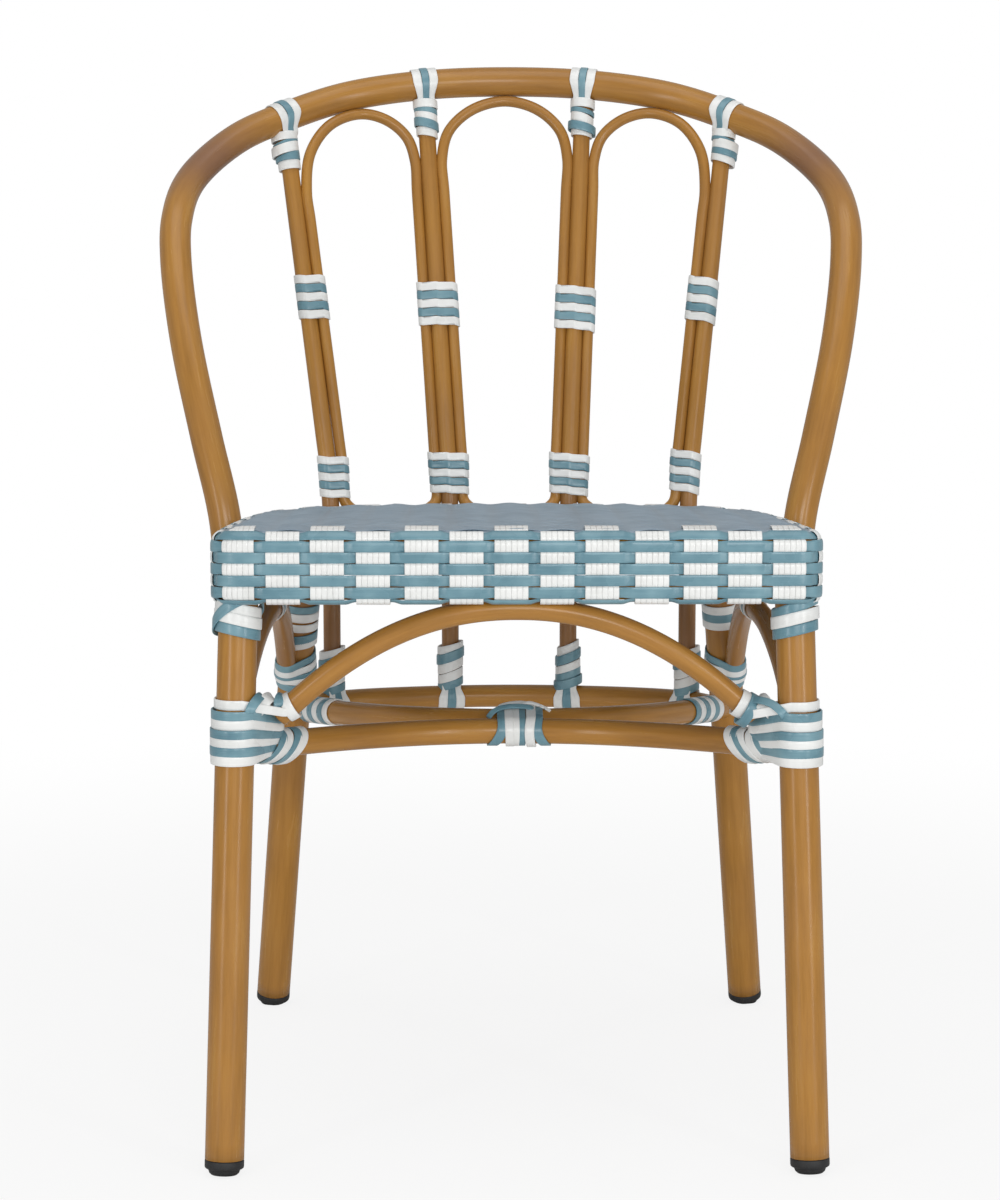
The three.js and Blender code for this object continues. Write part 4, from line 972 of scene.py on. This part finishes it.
# Straps over the front joints: tint, width and points of each, and the way that all of them face
SHOULDER_FACE = (-0.4, -0.58, 0.71)
SHOULDER = {
    "left": (
        ("B", 7, [(-189.5, -241.3, 325), (-188, -242.8, 330), (-184.5, -238.5, 335),
                  (-181.5, -229, 337), (-180, -217, 332)]),
        ("W", 9, [(-181.5, -229.5, 327), (-180.6, -232.5, 330.5), (-178, -231.5, 334.5),
                  (-175, -221, 335), (-174, -213, 330)]),
        ("B", 7, [(-170.3, -226, 327), (-169.8, -228, 331), (-168.5, -223.5, 335.2),
                  (-167, -214.5, 334), (-165.5, -208, 329)])),
    "right": (
        ("W", 12, [(177.3, -228.5, 325), (177, -230.5, 328), (175.5, -228.5, 331),
                   (173.5, -219.5, 332.5), (172, -211, 328)]),
        ("B", 6, [(190, -241.8, 323), (186.5, -242.3, 327.5), (180.5, -237, 332),
                  (172.5, -230, 333.5), (164.5, -221.5, 332)])),
}
# Front bow: way from the joint, tint and swell under the tube of each ring, and their slant
BOW_SLANT = swept(6.8, 0, -11)
BOW_RINGS = {
    "left": ((33, "B", 1.6), (40.3, "W", 2.6), (48, "B", 3.4), (56, "W", 4.2)),
    "right": ((29.5, "B", 1.2), (35.2, "W", 2), (42, "W", 2.6), (49, "B", 3.4), (56.2, "W", 4.2)),
}
# Bands on the tops of the rear legs, and on the rear joints, which are tipped
REAR_TOPS = {
    "left": ((15.3, 6, "B", 0, 0.4), (8.3, 7.2, "W", 0, 0.4), (-0.6, 6.8, "W", 0.3, 0.4),
             (-11.1, 7.4, "B", 2.2, 0.4), (-16.6, 5.4, "W", 2.6, 0.4)),
    "right": ((14.4, 7, "W", 0, 0.4), (7.6, 7.4, "B", 0, 0.4), (1, 6.8, "W", 0, 0.4)),
}
REAR_JOINT = ((13.4, 6.8, "B", 0, 0.2), (6.9, 6.6, "W", 0, 1.1), (1.9, 4, "B", 0, 1.7),
              (-2.8, 5.6, "W", 0, 1.2), (-8.8, 6.4, "B", 0, 0.5))
REAR_TIP = unit(np.array([0.0, -0.5, 1.0]))
for side, sign in SIDES:
    front, rear = TUBES[f"front_leg_{side}"], TUBES[f"rear_leg_{side}"]
    front_axis, rear_axis = unit(front[0][-1] - front[0][0]), unit(rear[0][-1] - rear[0][0])
    arch, front_bow, rear_bow = (TUBES[name] for name in (
        f"side_arch_{side}", "front_bow_stretcher", "rear_bow_stretcher"))
    mirror = np.array([sign, 1, 1])

    top = point_at_height(front[0], FRONT_TOP_AT)
    bound(f"front_leg_top_lashing_{side}", banded([front], top, front_axis, LEG_TOPS[side]))

    joint = point_at_height(front[0], FRONT_JOINT_AT)
    stubs = {"arch": ARCH_FOOT * mirror[:2],
             "bow": off_by(front_bow[0], sign, joint, BOW_STUB, flat=0)}
    lower = LOWERED[side]
    bands = [(tint, leg_belt(front, stubs[stub], radius, level - lower,
                             low - STUB_LOWERED * lower, swell, narrowing))
             for level, low, stub, radius, narrowing, swell, tint in JOINT_BANDS]
    on_arch = FRONT_ARCH[np.abs(FRONT_ARCH[:, 0] - sign * ARCH_RING_X).argmin()]
    arch_way = unit(tube_way(FRONT_ARCH, on_arch) + ARCH_RING_TIP * ACROSS)
    bands += banded([TUBES["front_arch"]], on_arch, arch_way,
                    ARCH_RINGS[:1 if side == "left" else 2])
    straps = [(tint, strap(points, SHOULDER_FACE * mirror, width))
              for tint, width, points in SHOULDER[side]]
    bound(f"front_joint_lashing_{side}", bands, straps)

    bands = []
    for away_by, tint, bulge in BOW_RINGS[side]:
        centre = off_by(front_bow[0], sign, joint, away_by, flat=0)
        bands.append((tint, ring([front_bow], centre, tube_way(front_bow[0], centre),
                                 -sign * BOW_SLANT, 7.2, swept(0.6, 0.9, bulge))))
    bound(f"front_bow_lashing_{side}", bands)

    top = point_at_height(rear[0], REAR_TOP_AT)
    bound(f"rear_leg_top_lashing_{side}", banded([rear], top, rear_axis, REAR_TOPS[side]))
    joint = point_at_height(rear[0], REAR_JOINT_AT)
    bound(f"rear_joint_lashing_{side}", banded([rear, arch], joint, REAR_TIP, REAR_JOINT))
    joint = point_at_height(rear[0], REAR_BOW_AT)
    centre = off_by(rear_bow[0], sign, joint, REAR_RINGS_AT)
    bound(f"rear_bow_lashing_{side}", rings([rear_bow], centre, tube_way(rear_bow[0], centre),
                                            "BWBWBW", REAR_PITCH, width=REAR_WIDTH))
    bound(f"arch_top_lashing_{side}", rings([arch], ARCH_TOP * mirror, BACKWARD, "WBW"))

crossing = np.array([0.0, -105.0, 289.0])
fan = banded([TUBES["front_bow_stretcher"], TUBES["rear_bow_stretcher"]], crossing, ACROSS, (
    (swept(-9.3, -10, -17), 7.4, "B", 0, 0.2), (swept(-4, -3.6, -3.2), 6.6, "W", 0, 0.8),
    (swept(1.4, 1.7, 1.2), 4.8, "W", 0, 0.5), (swept(5.8, 5.7, 5.6), 5.4, "B", 0, 0.3),
    (swept(12.6, 11.2, 13), 7.2, "W", 0, 1.2), (swept(18, 17.6, 24), 7.4, "B", 0, 0.2)))
crossed = [
    ("B", strap([(-19.5, -99, 298.5), (-15, -96, 302), (-9, -93.5, 304.3), (3, -93, 305.2),
                 (15, -92.5, 304)], (0, -0.55, 0.83), 4.6)),
    ("W", strap([(-13, -86, 301.5), (-8, -85, 304), (0, -84, 305.5), (8, -84, 305.5),
                 (14, -84, 303.5)], (0, -0.4, 0.9), 6)),
    ("W", strap([(4, -86, 305), (12, -86, 306.5), (21.5, -85, 303.2), (28.8, -86.5, 299.5)],
                (0, -0.5, 0.85), 3)),
]
bound("centre_lashing", fan, crossed)
